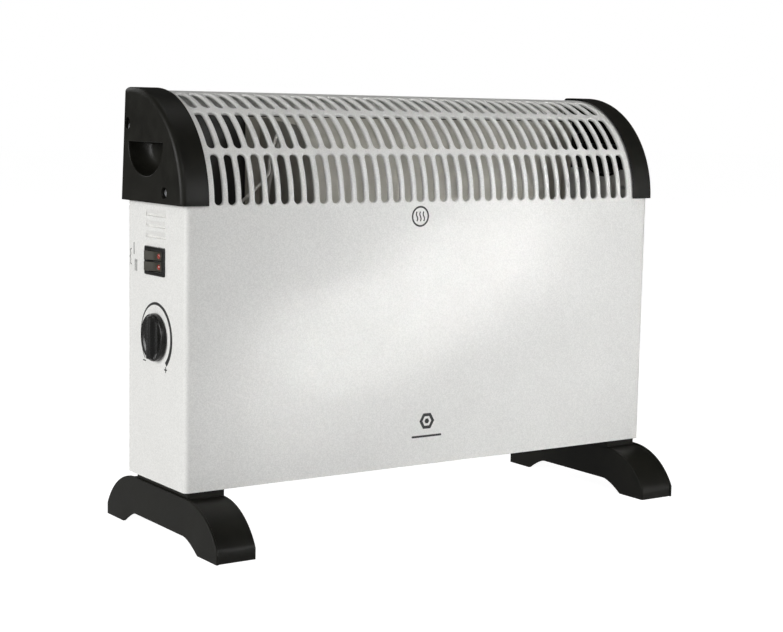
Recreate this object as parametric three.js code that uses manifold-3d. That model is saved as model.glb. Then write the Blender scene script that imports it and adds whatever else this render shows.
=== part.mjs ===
// Fan convector heater: a folded steel casing with a slotted, rounded top, two moulded end caps,
// two arched feet, rocker switches and a thermostat knob on the left end, and an open-coil heating
// element over a small axial fan inside. Millimetres, +Z up, front towards -Y, controls at -X.
// The origin is on the floor, at the middle of the whole heater's footprint.
import * as THREE from 'three';
import { mergeVertices } from 'three/addons/utils/BufferGeometryUtils.js';
import Module from 'manifold-3d';

const wasm = await Module();
wasm.setup();

// ---------------------------------------------------------------- driving dimensions

// Casing
const bodyWidth = 518;
const bodyDepth = 109;
const bodySetBack = 1.5; // the casing's middle stands this far behind the feet's middle
const panelHeight = 244.5; // flat front panel, from its lower edge to the start of the curve
const curveRadius = 96.4; // outside of the rounded top
const sheet = 1; // steel sheet
const cornerRadius = 4.7; // outside of the folds between front and sides
const rearRecess = 2.7; // the rear panel lies this far inside the sides' rear edge
const flangeWidth = 13; // side flanges, which the rear panel is screwed to
const topFlange = 21; // drop of the flange along the rear of the top
const gap = 0.3; // between pieces that touch when assembled

// Grille slots in the rounded top
const slotPitch = 13;
const slotWidth = 8;
const slotRows = [[0.2, 26.8], [30.1, 54.6], [58.5, 78]]; // degrees round the curve, from the front
const slotMargin = 6; // least plain sheet between the end slots and the caps

// Side louvres
const louvreCount = 3;
const louvrePitch = 9.3;
const louvreLength = 37.7;
const louvreOpening = 2.2;
const louvreTop = 6; // first louvre's upper edge, below the cap's lower edge

// End caps
const capOverhang = 5; // beyond the casing's side
const capWrap = 26; // width of the band that wraps over the top
const capWall = 1.8;
const capFit = 0.5; // between the cap's inside and the casing
const capEdge = 5; // rounded outer edge
const capRearTop = 0.5; // rear edge behind the casing, at the top and at the bottom
const capRearBottom = 8;
const recessWidth = 66; // D-shaped finger recess
const recessDrop = 26; // its rounded lower half, below the widest line
const recessDepth = 21;
const recessLine = 48.5; // its widest line, above the cap's lower edge
const recessMargin = 4; // between its rear wall and the rear panel
const bossRadius = 5;
const bossFloor = 1;

// Feet
const footDepth = 213;
const footWidth = 38.6;
const footInset = 2; // outer face, inside the casing's side
const footHeight = 50; // floor to the casing's lower edge
const footTop = 45;
const footFlat = 100; // straight top, from front to back
const toeHeight = 10.5;
const toeLength = 34.5;
const archHeight = 11.6;
const archFlat = 92;
const footWall = 3;
const lipWidth = 2.6; // outer plate that stands proud of the foot's back
const lipHeight = 1.2;
const padInset = 2.2;
const footScrewSpread = 62;

// Controls
const bezelProud = 2;
const bezelLine = 50.5; // its middle, below the cap's lower edge
const bezelRim = 3.2; // laps over the edge of the casing's cut-out
const wellWall = 0.7; // least wall beyond the rockers' ends
const wellCover = 0.4; // least wall above and below the rockers
const rockerHeight = 7.8;
const rockerBar = 1.6; // between the two rockers
const rockerLength = 28;
const rockerTilt = 10;
const rockerPlay = 0.6;
const lensRadius = 2.6;
const knobRadius = 21;
const knobHeight = 9.5; // ridge above the casing's side
const knobLine = 116.5; // its middle, below the cap's lower edge
const knobClearance = 0.8;
const ridgeWidth = 6.4;
const shaftRadius = 3;
const runningFit = 0.3;

// Heating chamber and element
const controlBay = 129; // left end, for the controls and wiring
const leftTab = 15; // rear flanges of the two partitions
const rightTab = 10;
const tabClearance = 1; // between the right flange and the right finger recess
const stripDepth = 14; // the right partition's narrow upper part
const micaCount = 3;
const micaWidth = 66;
const micaHeight = 62;
const elementHeight = 118; // middle of the element, above the base
const coilRadius = 5;
const coilWire = 1;
const coilCount = 3;
const rodRadius = 2;

// Fan
const fanMargin = 7.5; // between the fan's flange and the outside of the casing
const shroudFlange = 7;
const tipClearance = 3;
const bladeCount = 6;
const hubRadius = 10;
const hubHeight = 11;
const rotorRadius = 9.5;
const rotorGap = 0.7;
const stackHeight = 16;
const spindleRadius = 1.6;
const shroudHeight = 16;

// Fasteners and leads
const screwRadius = 1.9;
const headRadius = 3.6;
const headHeight = 1.8;
const screwFit = 0.35;
const leadRadius = 1.5;
const glandRadius = 6.2;
const cordHole = 3.6;

// ---------------------------------------------------------------- derived places

const sideX = bodyWidth / 2;
const frontY = bodySetBack - bodyDepth / 2;
const backY = bodySetBack + bodyDepth / 2;
const bottomZ = footHeight;
const curveZ = bottomZ + panelHeight;
const curveY = frontY + curveRadius;
const topZ = curveZ + curveRadius;
const capX = sideX + capOverhang;
const capInnerX = capX - capWrap;
const capRadius = curveRadius + capFit + capWall;
const floorZ = bottomZ + gap + sheet; // upper side of the base plate
const rearPlateY = backY - rearRecess; // rear side of the rear panel
const flangeY = rearPlateY - sheet - gap; // rear side of the casing's flanges
const recessY = rearPlateY - sheet - recessMargin - capWall - recessWidth / 2;
const recessZ = curveZ + recessLine;
const recessTop = recessZ + 3;
const sideTop = curveZ + 27; // top edge of the casing's sides, inside the caps
const capScrews = [
  { y: frontY + 31, z: curveZ + 9.5 },
  { y: rearPlateY - 4.6, z: curveZ + 64 },
];
const rockerPitch = rockerHeight + rockerBar;
const bezelWidth = rockerLength + 2 * (rockerPlay + wellWall + bezelRim);
const bezelHeight = rockerPitch + rockerHeight + 2 * (gap + wellCover + bezelRim);
const bezelY = bodySetBack + 1.8;
const bezelZ = curveZ - bezelLine;
const knobY = bodySetBack;
const knobZ = curveZ - knobLine;
const thermostatScrews = [-1, 1].map((end) => ({ y: knobY + end * 12, z: knobZ }));
const chamberLeft = -sideX + controlBay;
const chamberRight = capX - recessDepth - tabClearance - rightTab - sheet;
const chamberMiddle = (chamberLeft + chamberRight) / 2;
const elementZ = floorZ + elementHeight;
const flangeRadius = bodyDepth / 2 - fanMargin;
const shroudRadius = flangeRadius - shroudFlange;
const impellerRadius = shroudRadius - tipClearance;
const knobX = -sideX - knobHeight;
const middleShift = -(knobX + capX) / 2; // brings the middle of the whole width to X = 0

const curveSteps = 12; // facets in the rounded top
const rad = THREE.MathUtils.degToRad;

// ---------------------------------------------------------------- materials

function finish(color, roughness, metalness) {
  return new THREE.MeshStandardMaterial({ color, roughness, metalness });
}

const whitePaint = () => finish(0xe9e9e6, 0.55, 0.1);
const blackPlastic = () => finish(0x2a2a26, 0.55, 0);
const glossBlack = () => finish(0x111110, 0.3, 0);
const redLens = () => finish(0xc0392b, 0.2, 0);
const zincSteel = () => finish(0xb9bcbe, 0.4, 0.9);
const aluminised = () => finish(0xc9cacb, 0.35, 0.9);
const mica = () => finish(0xb9a98a, 0.7, 0);
const nichrome = () => finish(0x8d8a86, 0.4, 0.9);
const darkSteel = () => finish(0x55585a, 0.45, 0.8);
const copperCoil = () => finish(0xb5652d, 0.4, 0.6);
const bakelite = () => finish(0x3a2a20, 0.5, 0);
const nylon = () => finish(0xe6e2d4, 0.6, 0);
const sleeve = (color) => finish(color, 0.5, 0);

// ---------------------------------------------------------------- solids and joins

// A closed geometry as a solid that can be joined and cut.
function solid(geometry) {
  const bare = geometry.clone();
  bare.deleteAttribute('normal');
  bare.deleteAttribute('uv');
  const merged = mergeVertices(bare, 1e-4);
  return new wasm.Manifold(new wasm.Mesh({
    numProp: 3,
    vertProperties: new Float32Array(merged.attributes.position.array),
    triVerts: new Uint32Array(merged.index.array),
  }));
}

// The solid's surface as a three.js geometry.
function surface(body) {
  const mesh = body.getMesh();
  const geometry = new THREE.BufferGeometry();
  geometry.setAttribute('position', new THREE.BufferAttribute(mesh.vertProperties, 3));
  geometry.setIndex(new THREE.BufferAttribute(mesh.triVerts, 1));
  geometry.computeVertexNormals();
  return geometry;
}

const join = (first, ...others) => others.reduce((whole, one) => whole.add(one), first);
const cut = (first, ...others) => others.reduce((whole, one) => whole.subtract(one), first);

function box(x0, x1, y0, y1, z0, z1) {
  const geometry = new THREE.BoxGeometry(Math.abs(x1 - x0), y1 - y0, z1 - z0);
  return solid(geometry.translate((x0 + x1) / 2, (y0 + y1) / 2, (z0 + z1) / 2));
}

// An outline in Y and Z, swept along X from x0 to x1.
function sweepX(shape, x0, x1, options = {}) {
  const depth = x1 - x0;
  const geometry = new THREE.ExtrudeGeometry(shape, { depth, bevelEnabled: false, ...options });
  const turn = new THREE.Matrix4().makeBasis(
    new THREE.Vector3(0, 1, 0), new THREE.Vector3(0, 0, 1), new THREE.Vector3(1, 0, 0));
  return solid(geometry.applyMatrix4(turn).translate(x0, 0, 0));
}

// An outline in X and Z, swept along Y from y0 to y1.
function sweepY(shape, y0, y1, options = {}) {
  const depth = y1 - y0;
  const geometry = new THREE.ExtrudeGeometry(shape, { depth, bevelEnabled: false, ...options });
  return solid(geometry.rotateX(Math.PI / 2).translate(0, y1, 0));
}

// An outline in X and Y, swept along Z from z0 to z1.
function sweepZ(shape, z0, z1, options = {}) {
  const depth = z1 - z0;
  const geometry = new THREE.ExtrudeGeometry(shape, { depth, bevelEnabled: false, ...options });
  return solid(geometry.translate(0, 0, z0));
}

function rodX(radius, x0, x1, y, z, sides = 12) {
  const geometry = new THREE.CylinderGeometry(radius, radius, x1 - x0, sides);
  return solid(geometry.rotateZ(Math.PI / 2).translate((x0 + x1) / 2, y, z));
}

function rodY(radius, y0, y1, x, z, sides = 12) {
  const geometry = new THREE.CylinderGeometry(radius, radius, y1 - y0, sides);
  return solid(geometry.translate(x, (y0 + y1) / 2, z));
}

function rodZ(radius, z0, z1, x, y, sides = 12) {
  const geometry = new THREE.CylinderGeometry(radius, radius, z1 - z0, sides);
  return solid(geometry.rotateX(Math.PI / 2).translate(x, y, (z0 + z1) / 2));
}

// A rectangle as a shape or, for holes, as a path.
function rectangle(Kind, a0, a1, b0, b1) {
  const outline = new Kind();
  outline.moveTo(a0, b0);
  outline.lineTo(a1, b0);
  outline.lineTo(a1, b1);
  outline.lineTo(a0, b1);
  outline.closePath();
  return outline;
}

// A slot with pointed-round ends: three points at each end, and one halfway up each long side.
function slotPath(across, from, to, width) {
  const half = width / 2;
  const middle = (from + to) / 2;
  return new THREE.Path([
    [across, from],
    [across + half, from + half],
    [across + half, middle],
    [across + half, to - half],
    [across, to],
    [across - half, to - half],
    [across - half, middle],
    [across - half, from + half],
  ].map(([a, b]) => new THREE.Vector2(a, b)));
}

// A round hole as a path.
function holePath(a, b, radius, sides = 8) {
  const points = [];
  for (let i = 0; i < sides; i += 1) {
    const angle = ((i + 0.5) / sides) * 2 * Math.PI;
    points.push(new THREE.Vector2(a + radius * Math.cos(angle), b + radius * Math.sin(angle)));
  }
  return new THREE.Path(points);
}

// A pan-head screw as a solid of revolution: its head towards +Y, its point towards -Y.
function screwGeometry(length) {
  const profile = [
    [0, headHeight],
    [headRadius * 0.6, headHeight],
    [headRadius, headHeight * 0.45],
    [headRadius, 0],
    [screwRadius, 0],
    [screwRadius, -length + screwRadius],
    [0, -length],
  ].map(([r, h]) => new THREE.Vector2(r, h)).reverse();
  return new THREE.LatheGeometry(profile, 8);
}

const heater = new THREE.Group();
heater.position.x = middleShift;

// Names a solid or a geometry and adds it to the heater.
function add(name, shape, material) {
  const geometry = shape.isBufferGeometry ? shape : surface(shape);
  const mesh = new THREE.Mesh(geometry, material);
  mesh.name = name;
  heater.add(mesh);
  return mesh;
}

// Adds a screw with the underside of its head at a point, its head facing the way given.
function addScrew(name, length, x, y, z, facing) {
  const mesh = add(name, screwGeometry(length), zincSteel());
  mesh.position.set(x, y, z);
  mesh.quaternion.setFromUnitVectors(new THREE.Vector3(0, 1, 0), facing);
  return mesh;
}

const towardsFront = new THREE.Vector3(0, -1, 0);
const towardsRear = new THREE.Vector3(0, 1, 0);
const towardsFloor = new THREE.Vector3(0, 0, -1);
const outwards = (side) => new THREE.Vector3(side, 0, 0);

// ---------------------------------------------------------------- casing

// Points on a curve about the rounded top's centre, from the front round to the top.
function curvePoints(radius, fromDegrees = 0, toDegrees = 90) {
  const points = [];
  const steps = Math.round((curveSteps * (toDegrees - fromDegrees)) / 90);
  for (let i = 0; i <= steps; i += 1) {
    const angle = rad(fromDegrees + ((toDegrees - fromDegrees) * i) / steps);
    points.push([curveY - radius * Math.cos(angle), curveZ + radius * Math.sin(angle)]);
  }
  return points;
}

// A closed outline from a list of pairs.
const outlineOf = (pairs) => new THREE.Shape(pairs.map(([a, b]) => new THREE.Vector2(a, b)));

// Columns of slots that fit between the caps.
function slotColumns() {
  const room = 2 * (capInnerX - slotMargin) + (slotPitch - slotWidth);
  const count = Math.floor(room / slotPitch);
  return Array.from({ length: count }, (_, i) => (i - (count - 1) / 2) * slotPitch);
}

// The rounded top with its slots: a flat sheet with holes, rolled about the curve's centre, between
// two plain strips that lie under the caps.
function roundedTop() {
  const columns = slotColumns();
  const reach = (columns.length * slotPitch) / 2 + 1;
  const arcLength = curveRadius * Math.PI / 2;
  const along = (degrees) => curveRadius * rad(degrees);
  const flatEnd = arcLength + flangeY - curveY;
  const side = [];
  for (let i = 0; i <= curveSteps; i += 1) {
    side.push((arcLength * i) / curveSteps);
  }
  side.push(flatEnd);
  const flat = outlineOf([
    ...side.map((u) => [reach, u]),
    ...side.reverse().map((u) => [-reach, u]),
  ]);
  for (const column of columns) {
    for (const [from, to] of slotRows) {
      flat.holes.push(slotPath(column, along(from), along(to), slotWidth));
    }
  }
  const geometry = new THREE.ExtrudeGeometry(flat, { depth: sheet, bevelEnabled: false });
  const place = geometry.getAttribute('position');
  for (let i = 0; i < place.count; i += 1) {
    const u = place.getY(i);
    const radius = curveRadius - sheet + place.getZ(i);
    const angle = Math.min(u, arcLength) / curveRadius;
    const run = Math.max(u - arcLength, 0);
    place.setY(i, curveY - radius * Math.cos(angle) + run);
    place.setZ(i, curveZ + radius * Math.sin(angle));
  }
  const section = outlineOf([
    ...curvePoints(curveRadius),
    [flangeY, topZ],
    [flangeY, topZ - sheet],
    ...curvePoints(curveRadius - sheet).reverse(),
  ]);
  return join(solid(geometry), sweepX(section, -sideX, -reach + 1), sweepX(section, reach - 1, sideX));
}

// Front and side walls: a U-shaped outline with rounded folds.
function wallOutline() {
  const bend = cornerRadius;
  const inner = bend - sheet;
  const outline = new THREE.Shape();
  outline.moveTo(-sideX, backY);
  outline.lineTo(-sideX, frontY + bend);
  outline.absarc(-sideX + bend, frontY + bend, bend, Math.PI, 1.5 * Math.PI);
  outline.absarc(sideX - bend, frontY + bend, bend, 1.5 * Math.PI, 2 * Math.PI);
  outline.lineTo(sideX, backY);
  outline.lineTo(sideX - sheet, backY);
  outline.absarc(sideX - bend, frontY + bend, inner, 2 * Math.PI, 1.5 * Math.PI, true);
  outline.absarc(-sideX + bend, frontY + bend, inner, 1.5 * Math.PI, Math.PI, true);
  outline.lineTo(-sideX + sheet, backY);
  outline.closePath();
  return outline;
}

// The finger recess as an outline in Y and Z: a half ellipse under a straight top.
function recessOutline(grow) {
  const a = recessWidth / 2 + grow;
  const b = recessDrop + grow;
  const pairs = [[recessY + a, recessTop + grow], [recessY - a, recessTop + grow]];
  const steps = 10;
  for (let i = 0; i <= steps; i += 1) {
    const angle = Math.PI * (1 + i / steps);
    pairs.push([recessY + a * Math.cos(angle), recessZ + b * Math.sin(angle)]);
  }
  return outlineOf(pairs);
}

// Rear screws: three down each side flange and two in the top flange.
const rearScrews = [];
for (const side of [-1, 1]) {
  for (const share of [0.08, 0.5, 0.9]) {
    rearScrews.push({
      x: side * (sideX - sheet - flangeWidth / 2),
      z: bottomZ + panelHeight * share,
    });
  }
  rearScrews.push({ x: side * bodyWidth * 0.25, z: topZ - sheet - flangeWidth / 2 });
}

function frontShell() {
  const walls = sweepZ(wallOutline(), bottomZ, curveZ, { curveSegments: 3 });
  const parts = [roundedTop()];
  for (const side of [-1, 1]) {
    const outer = side * sideX;
    const inner = side * (sideX - sheet);
    const upper = box(outer, inner, frontY + 10, backY - 8, curveZ - 5, sideTop);
    const lip = box(outer, side * (sideX - 2 * sheet), flangeY - sheet, backY, bottomZ, curveZ);
    const flange = box(inner, side * (sideX - sheet - flangeWidth), flangeY - sheet, flangeY,
      bottomZ, curveZ);
    parts.push(upper, lip, flange);
  }
  parts.push(box(-capInnerX, capInnerX, flangeY - sheet, flangeY, topZ - topFlange, topZ - 0.5));
  const whole = join(walls, ...parts);
  const cutters = [];
  for (const side of [-1, 1]) {
    const through = [side * sideX - 6, side * sideX + 6];
    cutters.push(sweepX(recessOutline(capWall + 2), ...through));
    cutters.push(rodX(screwRadius + screwFit, ...through, capScrews[0].y, capScrews[0].z, 8));
  }
  for (const { x, z } of rearScrews) {
    cutters.push(rodY(screwRadius + screwFit, flangeY - 3, flangeY + 1, x, z, 8));
  }
  const left = [-sideX - 2, -sideX + 4];
  const switchHole = [bezelY - bezelWidth / 2 + bezelRim - gap, bezelY + bezelWidth / 2 - bezelRim + gap];
  cutters.push(box(...left, ...switchHole,
    bezelZ - bezelHeight / 2 + bezelRim - gap, bezelZ + bezelHeight / 2 - bezelRim + gap));
  cutters.push(rodX(shaftRadius + 1.5, ...left, knobY, knobZ, 12));
  for (const { y, z } of thermostatScrews) {
    cutters.push(rodX(screwRadius + screwFit, ...left, y, z, 8));
  }
  for (let i = 0; i < louvreCount; i += 1) {
    const upper = curveZ - louvreTop - i * louvrePitch;
    cutters.push(box(...left, bezelY - louvreLength / 2, bezelY + louvreLength / 2,
      upper - louvreOpening, upper));
  }
  return cut(whole, ...cutters);
}

// The cord gland's place in the rear panel, low at the controls' end.
const gland = { x: -sideX + 44, z: bottomZ + 26 };

function rearPanel() {
  const edge = sideX - 2 * sheet - gap;
  const plate = rectangle(THREE.Shape, -edge, edge, floorZ + gap, topZ - sheet - gap);
  for (const { x, z } of rearScrews) {
    plate.holes.push(holePath(x, z, screwRadius + screwFit));
  }
  plate.holes.push(holePath(gland.x, gland.z, glandRadius + gap, 12));
  const ventPitch = 22;
  const ventCount = Math.floor((chamberRight - chamberLeft - 20) / ventPitch);
  for (let i = 0; i < ventCount; i += 1) {
    const x = chamberMiddle + (i - (ventCount - 1) / 2) * ventPitch;
    plate.holes.push(slotPath(x, floorZ + 24, floorZ + 64, slotWidth));
  }
  const tabs = [-1, 1].map((side) => {
    const tab = capScrews[1];
    return cut(
      box(side * edge, side * (edge - sheet), tab.y - 6, rearPlateY - sheet / 2, tab.z - 7, tab.z + 7),
      rodX(screwRadius + screwFit, side * edge - 3, side * edge + 3, tab.y, tab.z, 8));
  });
  return join(sweepY(plate, rearPlateY - sheet, rearPlateY), ...tabs);
}

// Foot screws: two in each foot, front and rear.
const footMiddleX = sideX - footInset - footWidth / 2;
const footScrews = [-1, 1].flatMap((side) =>
  [-1, 1].map((end) => ({ x: side * footMiddleX, y: (end * footScrewSpread) / 2 })));

function basePlate() {
  const edge = sideX - sheet - gap;
  const y0 = frontY + sheet + gap;
  const y1 = flangeY - sheet - gap;
  const plate = outlineOf([
    [-edge, y0 + cornerRadius], [-edge + cornerRadius, y0], [edge - cornerRadius, y0],
    [edge, y0 + cornerRadius], [edge, y1], [-edge, y1]]);
  const flangeEnd = edge - cornerRadius;
  for (const { x, y } of footScrews) {
    plate.holes.push(holePath(x, y, screwRadius + screwFit));
  }
  const room = 2 * (sideX - footInset - footWidth) - 2 * slotPitch;
  const count = Math.floor(room / (1.5 * slotPitch));
  for (let i = 0; i < count; i += 1) {
    const x = (i - (count - 1) / 2) * 1.5 * slotPitch;
    plate.holes.push(slotPath(x, y0 + 14, y1 - 14, slotWidth));
  }
  return join(
    sweepZ(plate, bottomZ + gap, floorZ),
    box(-flangeEnd, flangeEnd, y0, y0 + sheet, bottomZ + gap, floorZ + 10),
    box(-flangeEnd, flangeEnd, y1 - sheet, y1, bottomZ + gap, floorZ + 10));
}

// ---------------------------------------------------------------- end caps

// The cap's outline in Y and Z, inset from the outer face and carried on below the cap's lower edge.
function capOutline(inset) {
  const rear = (z) => {
    const share = (z - curveZ) / capRadius;
    return backY + capRearBottom + (capRearTop - capRearBottom) * share - inset;
  };
  const lowest = curveZ - 2 * capEdge;
  const top = curveZ + capRadius - inset;
  return outlineOf([
    [curveY - capRadius + inset, lowest],
    ...curvePoints(capRadius - inset),
    [rear(top), top],
    [rear(lowest), lowest],
  ]);
}

// The left cap; the right one is its mirror image.
function endCap() {
  const outer = sweepX(capOutline(0), -capX + capEdge, -capInnerX + capEdge, {
    bevelEnabled: true,
    bevelThickness: capEdge,
    bevelSize: capEdge,
    bevelOffset: -capEdge,
    bevelSegments: 2,
  });
  const hollow = sweepX(capOutline(capWall), -capX + capWall, -capInnerX + 10);
  const shell = cut(outer, hollow,
    box(-capInnerX, -capInnerX + 40, frontY - 40, backY + 40, curveZ - 40, topZ + 40),
    box(-capX - 1, -capInnerX + 1, frontY - 40, backY + 40, curveZ - 40, curveZ));
  const recess = sweepX(recessOutline(capWall), -capX + capWall / 2, -capX + recessDepth);
  const bosses = capScrews.map(({ y, z }) =>
    rodX(bossRadius + 1, -capX + capWall / 2, -sideX - gap, y, z, 12));
  const holes = capScrews.flatMap(({ y, z }) => [
    rodX(bossRadius, -capX - 1, -sideX - gap - bossFloor, y, z, 12),
    rodX(screwRadius + screwFit, -capX - 1, -sideX + 2, y, z, 8),
  ]);
  return cut(
    join(shell, recess, ...bosses),
    sweepX(recessOutline(0), -capX - 1, -capX + recessDepth - capWall),
    ...holes);
}

// ---------------------------------------------------------------- feet

// The foot's outline in Y and Z: a straight top, round shoulders, toes and an arch beneath.
function footOutline(drop) {
  const toe = footDepth / 2;
  const top = footTop - drop;
  const flat = footFlat / 2;
  const reach = toe - drop - flat;
  const fall = footTop - toeHeight;
  const radius = (reach * reach + fall * fall) / (2 * fall);
  const shoulder = [];
  const sweep = Math.asin(reach / radius);
  const steps = 6;
  for (let i = 0; i <= steps; i += 1) {
    const angle = (sweep * i) / steps;
    shoulder.push([flat + radius * Math.sin(angle), top - radius * (1 - Math.cos(angle))]);
  }
  const arch = [];
  const heel = toe - toeLength;
  const archEnd = archFlat / 2;
  for (let i = 0; i <= 3; i += 1) {
    const angle = (Math.PI / 2) * (i / 3);
    arch.push([
      heel - (heel - archEnd) * Math.sin(angle),
      archHeight * (1 - (1 - Math.sin(angle)) ** 1.6),
    ]);
  }
  const half = [...shoulder, [toe - drop, 0], ...arch];
  const mirrored = half.map(([y, z]) => [-y, z]).reverse();
  return outlineOf([...half, ...mirrored]);
}

// The hollow under the foot: its outline pulled in by the wall, open at the bottom.
function footHollow() {
  const toe = footDepth / 2 - lipHeight - footWall;
  const top = footTop - lipHeight - footWall;
  const flat = footFlat / 2 - 2;
  const pairs = [];
  const steps = 4;
  for (let i = 0; i <= steps; i += 1) {
    const angle = (Math.PI / 2) * (i / steps) * 0.75;
    pairs.push([
      flat + ((toe - flat) * Math.sin(angle)) / Math.sin(0.75 * Math.PI / 2),
      top - (top - toeHeight + 2) * (1 - Math.cos(angle)) / (1 - Math.cos(0.75 * Math.PI / 2)),
    ]);
  }
  pairs.push([toe, -5]);
  return outlineOf([...pairs, ...pairs.map(([y, z]) => [-y, z]).reverse()]);
}

// The left foot; the right one is its mirror image.
function foot() {
  const outerX = -sideX + footInset;
  const innerX = outerX + footWidth;
  const plinthX = outerX + padInset;
  const body = join(
    sweepX(footOutline(0), outerX, outerX + lipWidth),
    sweepX(footOutline(lipHeight), outerX + lipWidth / 2, innerX),
    box(plinthX, innerX, frontY + sheet + 1, flangeY - sheet - 1, footTop - 5, footHeight));
  const hollow = sweepX(footHollow(), outerX + footWall, innerX - footWall);
  const bossBase = archHeight + 8;
  const own = footScrews.filter(({ x }) => x < 0);
  const bosses = own.map(({ x, y }) => rodZ(headRadius + 2.4, bossBase, footTop, x, y, 12));
  const holes = own.flatMap(({ x, y }) => [
    rodZ(screwRadius + screwFit, bossBase - 5, footHeight + 5, x, y, 8),
    rodZ(headRadius + 0.5, bossBase - 5, bossBase + headHeight + 1, x, y, 12),
  ]);
  return cut(join(cut(body, hollow), ...bosses), ...holes);
}

// ---------------------------------------------------------------- switches

const bezelX = -sideX - bezelProud; // front face of the switch frame
const wellDepth = 14;
const rockerPivotX = -sideX + 2;
const rockerRows = [
  { name: 'upper', z: bezelZ + rockerPitch / 2 },
  { name: 'lower', z: bezelZ - rockerPitch / 2 },
];

function switchBezel() {
  const halfY = bezelWidth / 2;
  const halfZ = bezelHeight / 2;
  const frame = box(bezelX, -sideX - gap, bezelY - halfY, bezelY + halfY, bezelZ - halfZ, bezelZ + halfZ);
  const body = box(-sideX - 1, -sideX + wellDepth + 6,
    bezelY - halfY + bezelRim, bezelY + halfY - bezelRim,
    bezelZ - halfZ + bezelRim, bezelZ + halfZ - bezelRim);
  const wells = rockerRows.map(({ z }) =>
    box(bezelX - 1, -sideX + wellDepth,
      bezelY - rockerLength / 2 - rockerPlay, bezelY + rockerLength / 2 + rockerPlay,
      z - rockerHeight / 2 - gap, z + rockerHeight / 2 + gap));
  return cut(join(frame, body), ...wells);
}

// A rocker's outline in X and Y about its pivot, upright: a shallow V on the outside.
function rockerOutline() {
  const half = rockerLength / 2;
  return outlineOf([
    [-3.4, 0],
    [-5.2, half - 1],
    [-4.4, half - 0.2],
    [-0.5, half - 0.8],
    [7, half - 6],
    [7, -half + 6],
    [-0.5, -half + 0.8],
    [-4.4, -half + 0.2],
    [-5.2, -half + 1],
  ]);
}

const lensAway = 7.6; // from the pivot, towards the front
const lensFace = -3.4 - (5.2 - 3.4) * (lensAway / (rockerLength / 2 - 1));

// Moves an upright piece to a rocker's pivot, tilted with its front end pressed in.
function toRocker(geometry, z) {
  return geometry.rotateZ(rad(rockerTilt)).translate(rockerPivotX, bezelY, z);
}

function addRockers() {
  for (const { name, z } of rockerRows) {
    const block = sweepZ(rockerOutline(), -rockerHeight / 2, rockerHeight / 2);
    const seat = rodX(lensRadius + 0.2, lensFace - 3, lensFace + 2.2, -lensAway, 0, 12);
    add(`${name}_rocker`, toRocker(surface(cut(block, seat)), z), glossBlack());
    const lens = new THREE.CylinderGeometry(lensRadius, lensRadius * 0.8, 2.4, 12);
    lens.rotateZ(-Math.PI / 2).translate(lensFace + 0.7, -lensAway, 0);
    add(`${name}_lens`, toRocker(lens, z), redLens());
  }
}

// ---------------------------------------------------------------- thermostat

function knob() {
  const outer = -knobClearance;
  const face = -5.2;
  const dish = -4.2;
  const wall = 1.3;
  const hub = shaftRadius + runningFit + 2.4;
  const profile = [
    [0, dish],
    [knobRadius - 5, dish],
    [knobRadius - 1.6, face],
    [knobRadius - 0.6, face + 0.5],
    [knobRadius, outer],
    [knobRadius - wall, outer],
    [knobRadius - wall - 0.6, dish + wall],
    [hub, dish + wall],
    [hub, outer],
    [0, outer],
  ].map(([r, x]) => new THREE.Vector2(r, x));
  const disc = solid(new THREE.LatheGeometry(profile, 32).rotateZ(-Math.PI / 2).translate(-sideX, knobY, knobZ));
  const ridge = box(knobX, -sideX + dish + 0.4, knobY - ridgeWidth / 2, knobY + ridgeWidth / 2,
    knobZ - knobRadius, knobZ + knobRadius);
  const rounded = ridge.intersect(rodX(knobRadius - 0.8, knobX, -sideX, knobY, knobZ, 32));
  const bore = rodX(shaftRadius + runningFit, knobX + 2.2, -sideX, knobY, knobZ, 12);
  return cut(join(disc, rounded), bore);
}

const thermostatDepth = 20;

function addThermostat() {
  const backFace = -sideX + sheet + gap;
  add('thermostat_knob', knob(), glossBlack());
  add('thermostat_shaft',
    rodX(shaftRadius, knobX + 2.6, backFace + thermostatDepth - 4, knobY, knobZ, 12), zincSteel());
  const body = join(
    box(backFace, backFace + sheet, knobY - 18, knobY + 18, knobZ - 10, knobZ + 10),
    box(backFace, backFace + thermostatDepth, knobY - 9, knobY + 9, knobZ - 16, knobZ + 16));
  const bore = rodX(shaftRadius + runningFit, backFace - 1, backFace + thermostatDepth - 3, knobY, knobZ, 12);
  const holes = thermostatScrews.map(({ y, z }) =>
    rodX(screwRadius + screwFit, backFace - 1, backFace + 4, y, z, 8));
  add('thermostat_body', cut(body, bore, ...holes), bakelite());
  thermostatScrews.forEach(({ y, z }, i) =>
    addScrew(`thermostat_screw_${i + 1}`, 6, -sideX - gap, y, z, outwards(-1)));
}

// ---------------------------------------------------------------- heating chamber

const partitionGap = 5; // between the left partition and the rounded top
const partitionY0 = frontY + sheet + 3;
const partitionY1 = flangeY - sheet - 2;
const partitionTop = topZ - topFlange - 1;

// The left partition reaches up to the rounded top and closes off the control bay.
function leftPartition() {
  const reach = curvePoints(curveRadius - sheet - partitionGap, 0, 90);
  const shape = outlineOf([
    [partitionY0, floorZ + gap],
    ...reach.filter(([y, z]) => y > partitionY0 + 1 && z < partitionTop - 2),
    [curveY, partitionTop],
    [partitionY1, partitionTop],
    [partitionY1, floorZ + gap],
  ]);
  shape.holes.push(holePath(bodySetBack, elementZ + 30, 5, 8));
  const x = chamberLeft - sheet;
  return join(
    sweepX(shape, x, chamberLeft),
    box(x - leftTab, chamberLeft, partitionY1 - sheet, partitionY1, floorZ + 20, partitionTop));
}

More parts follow.
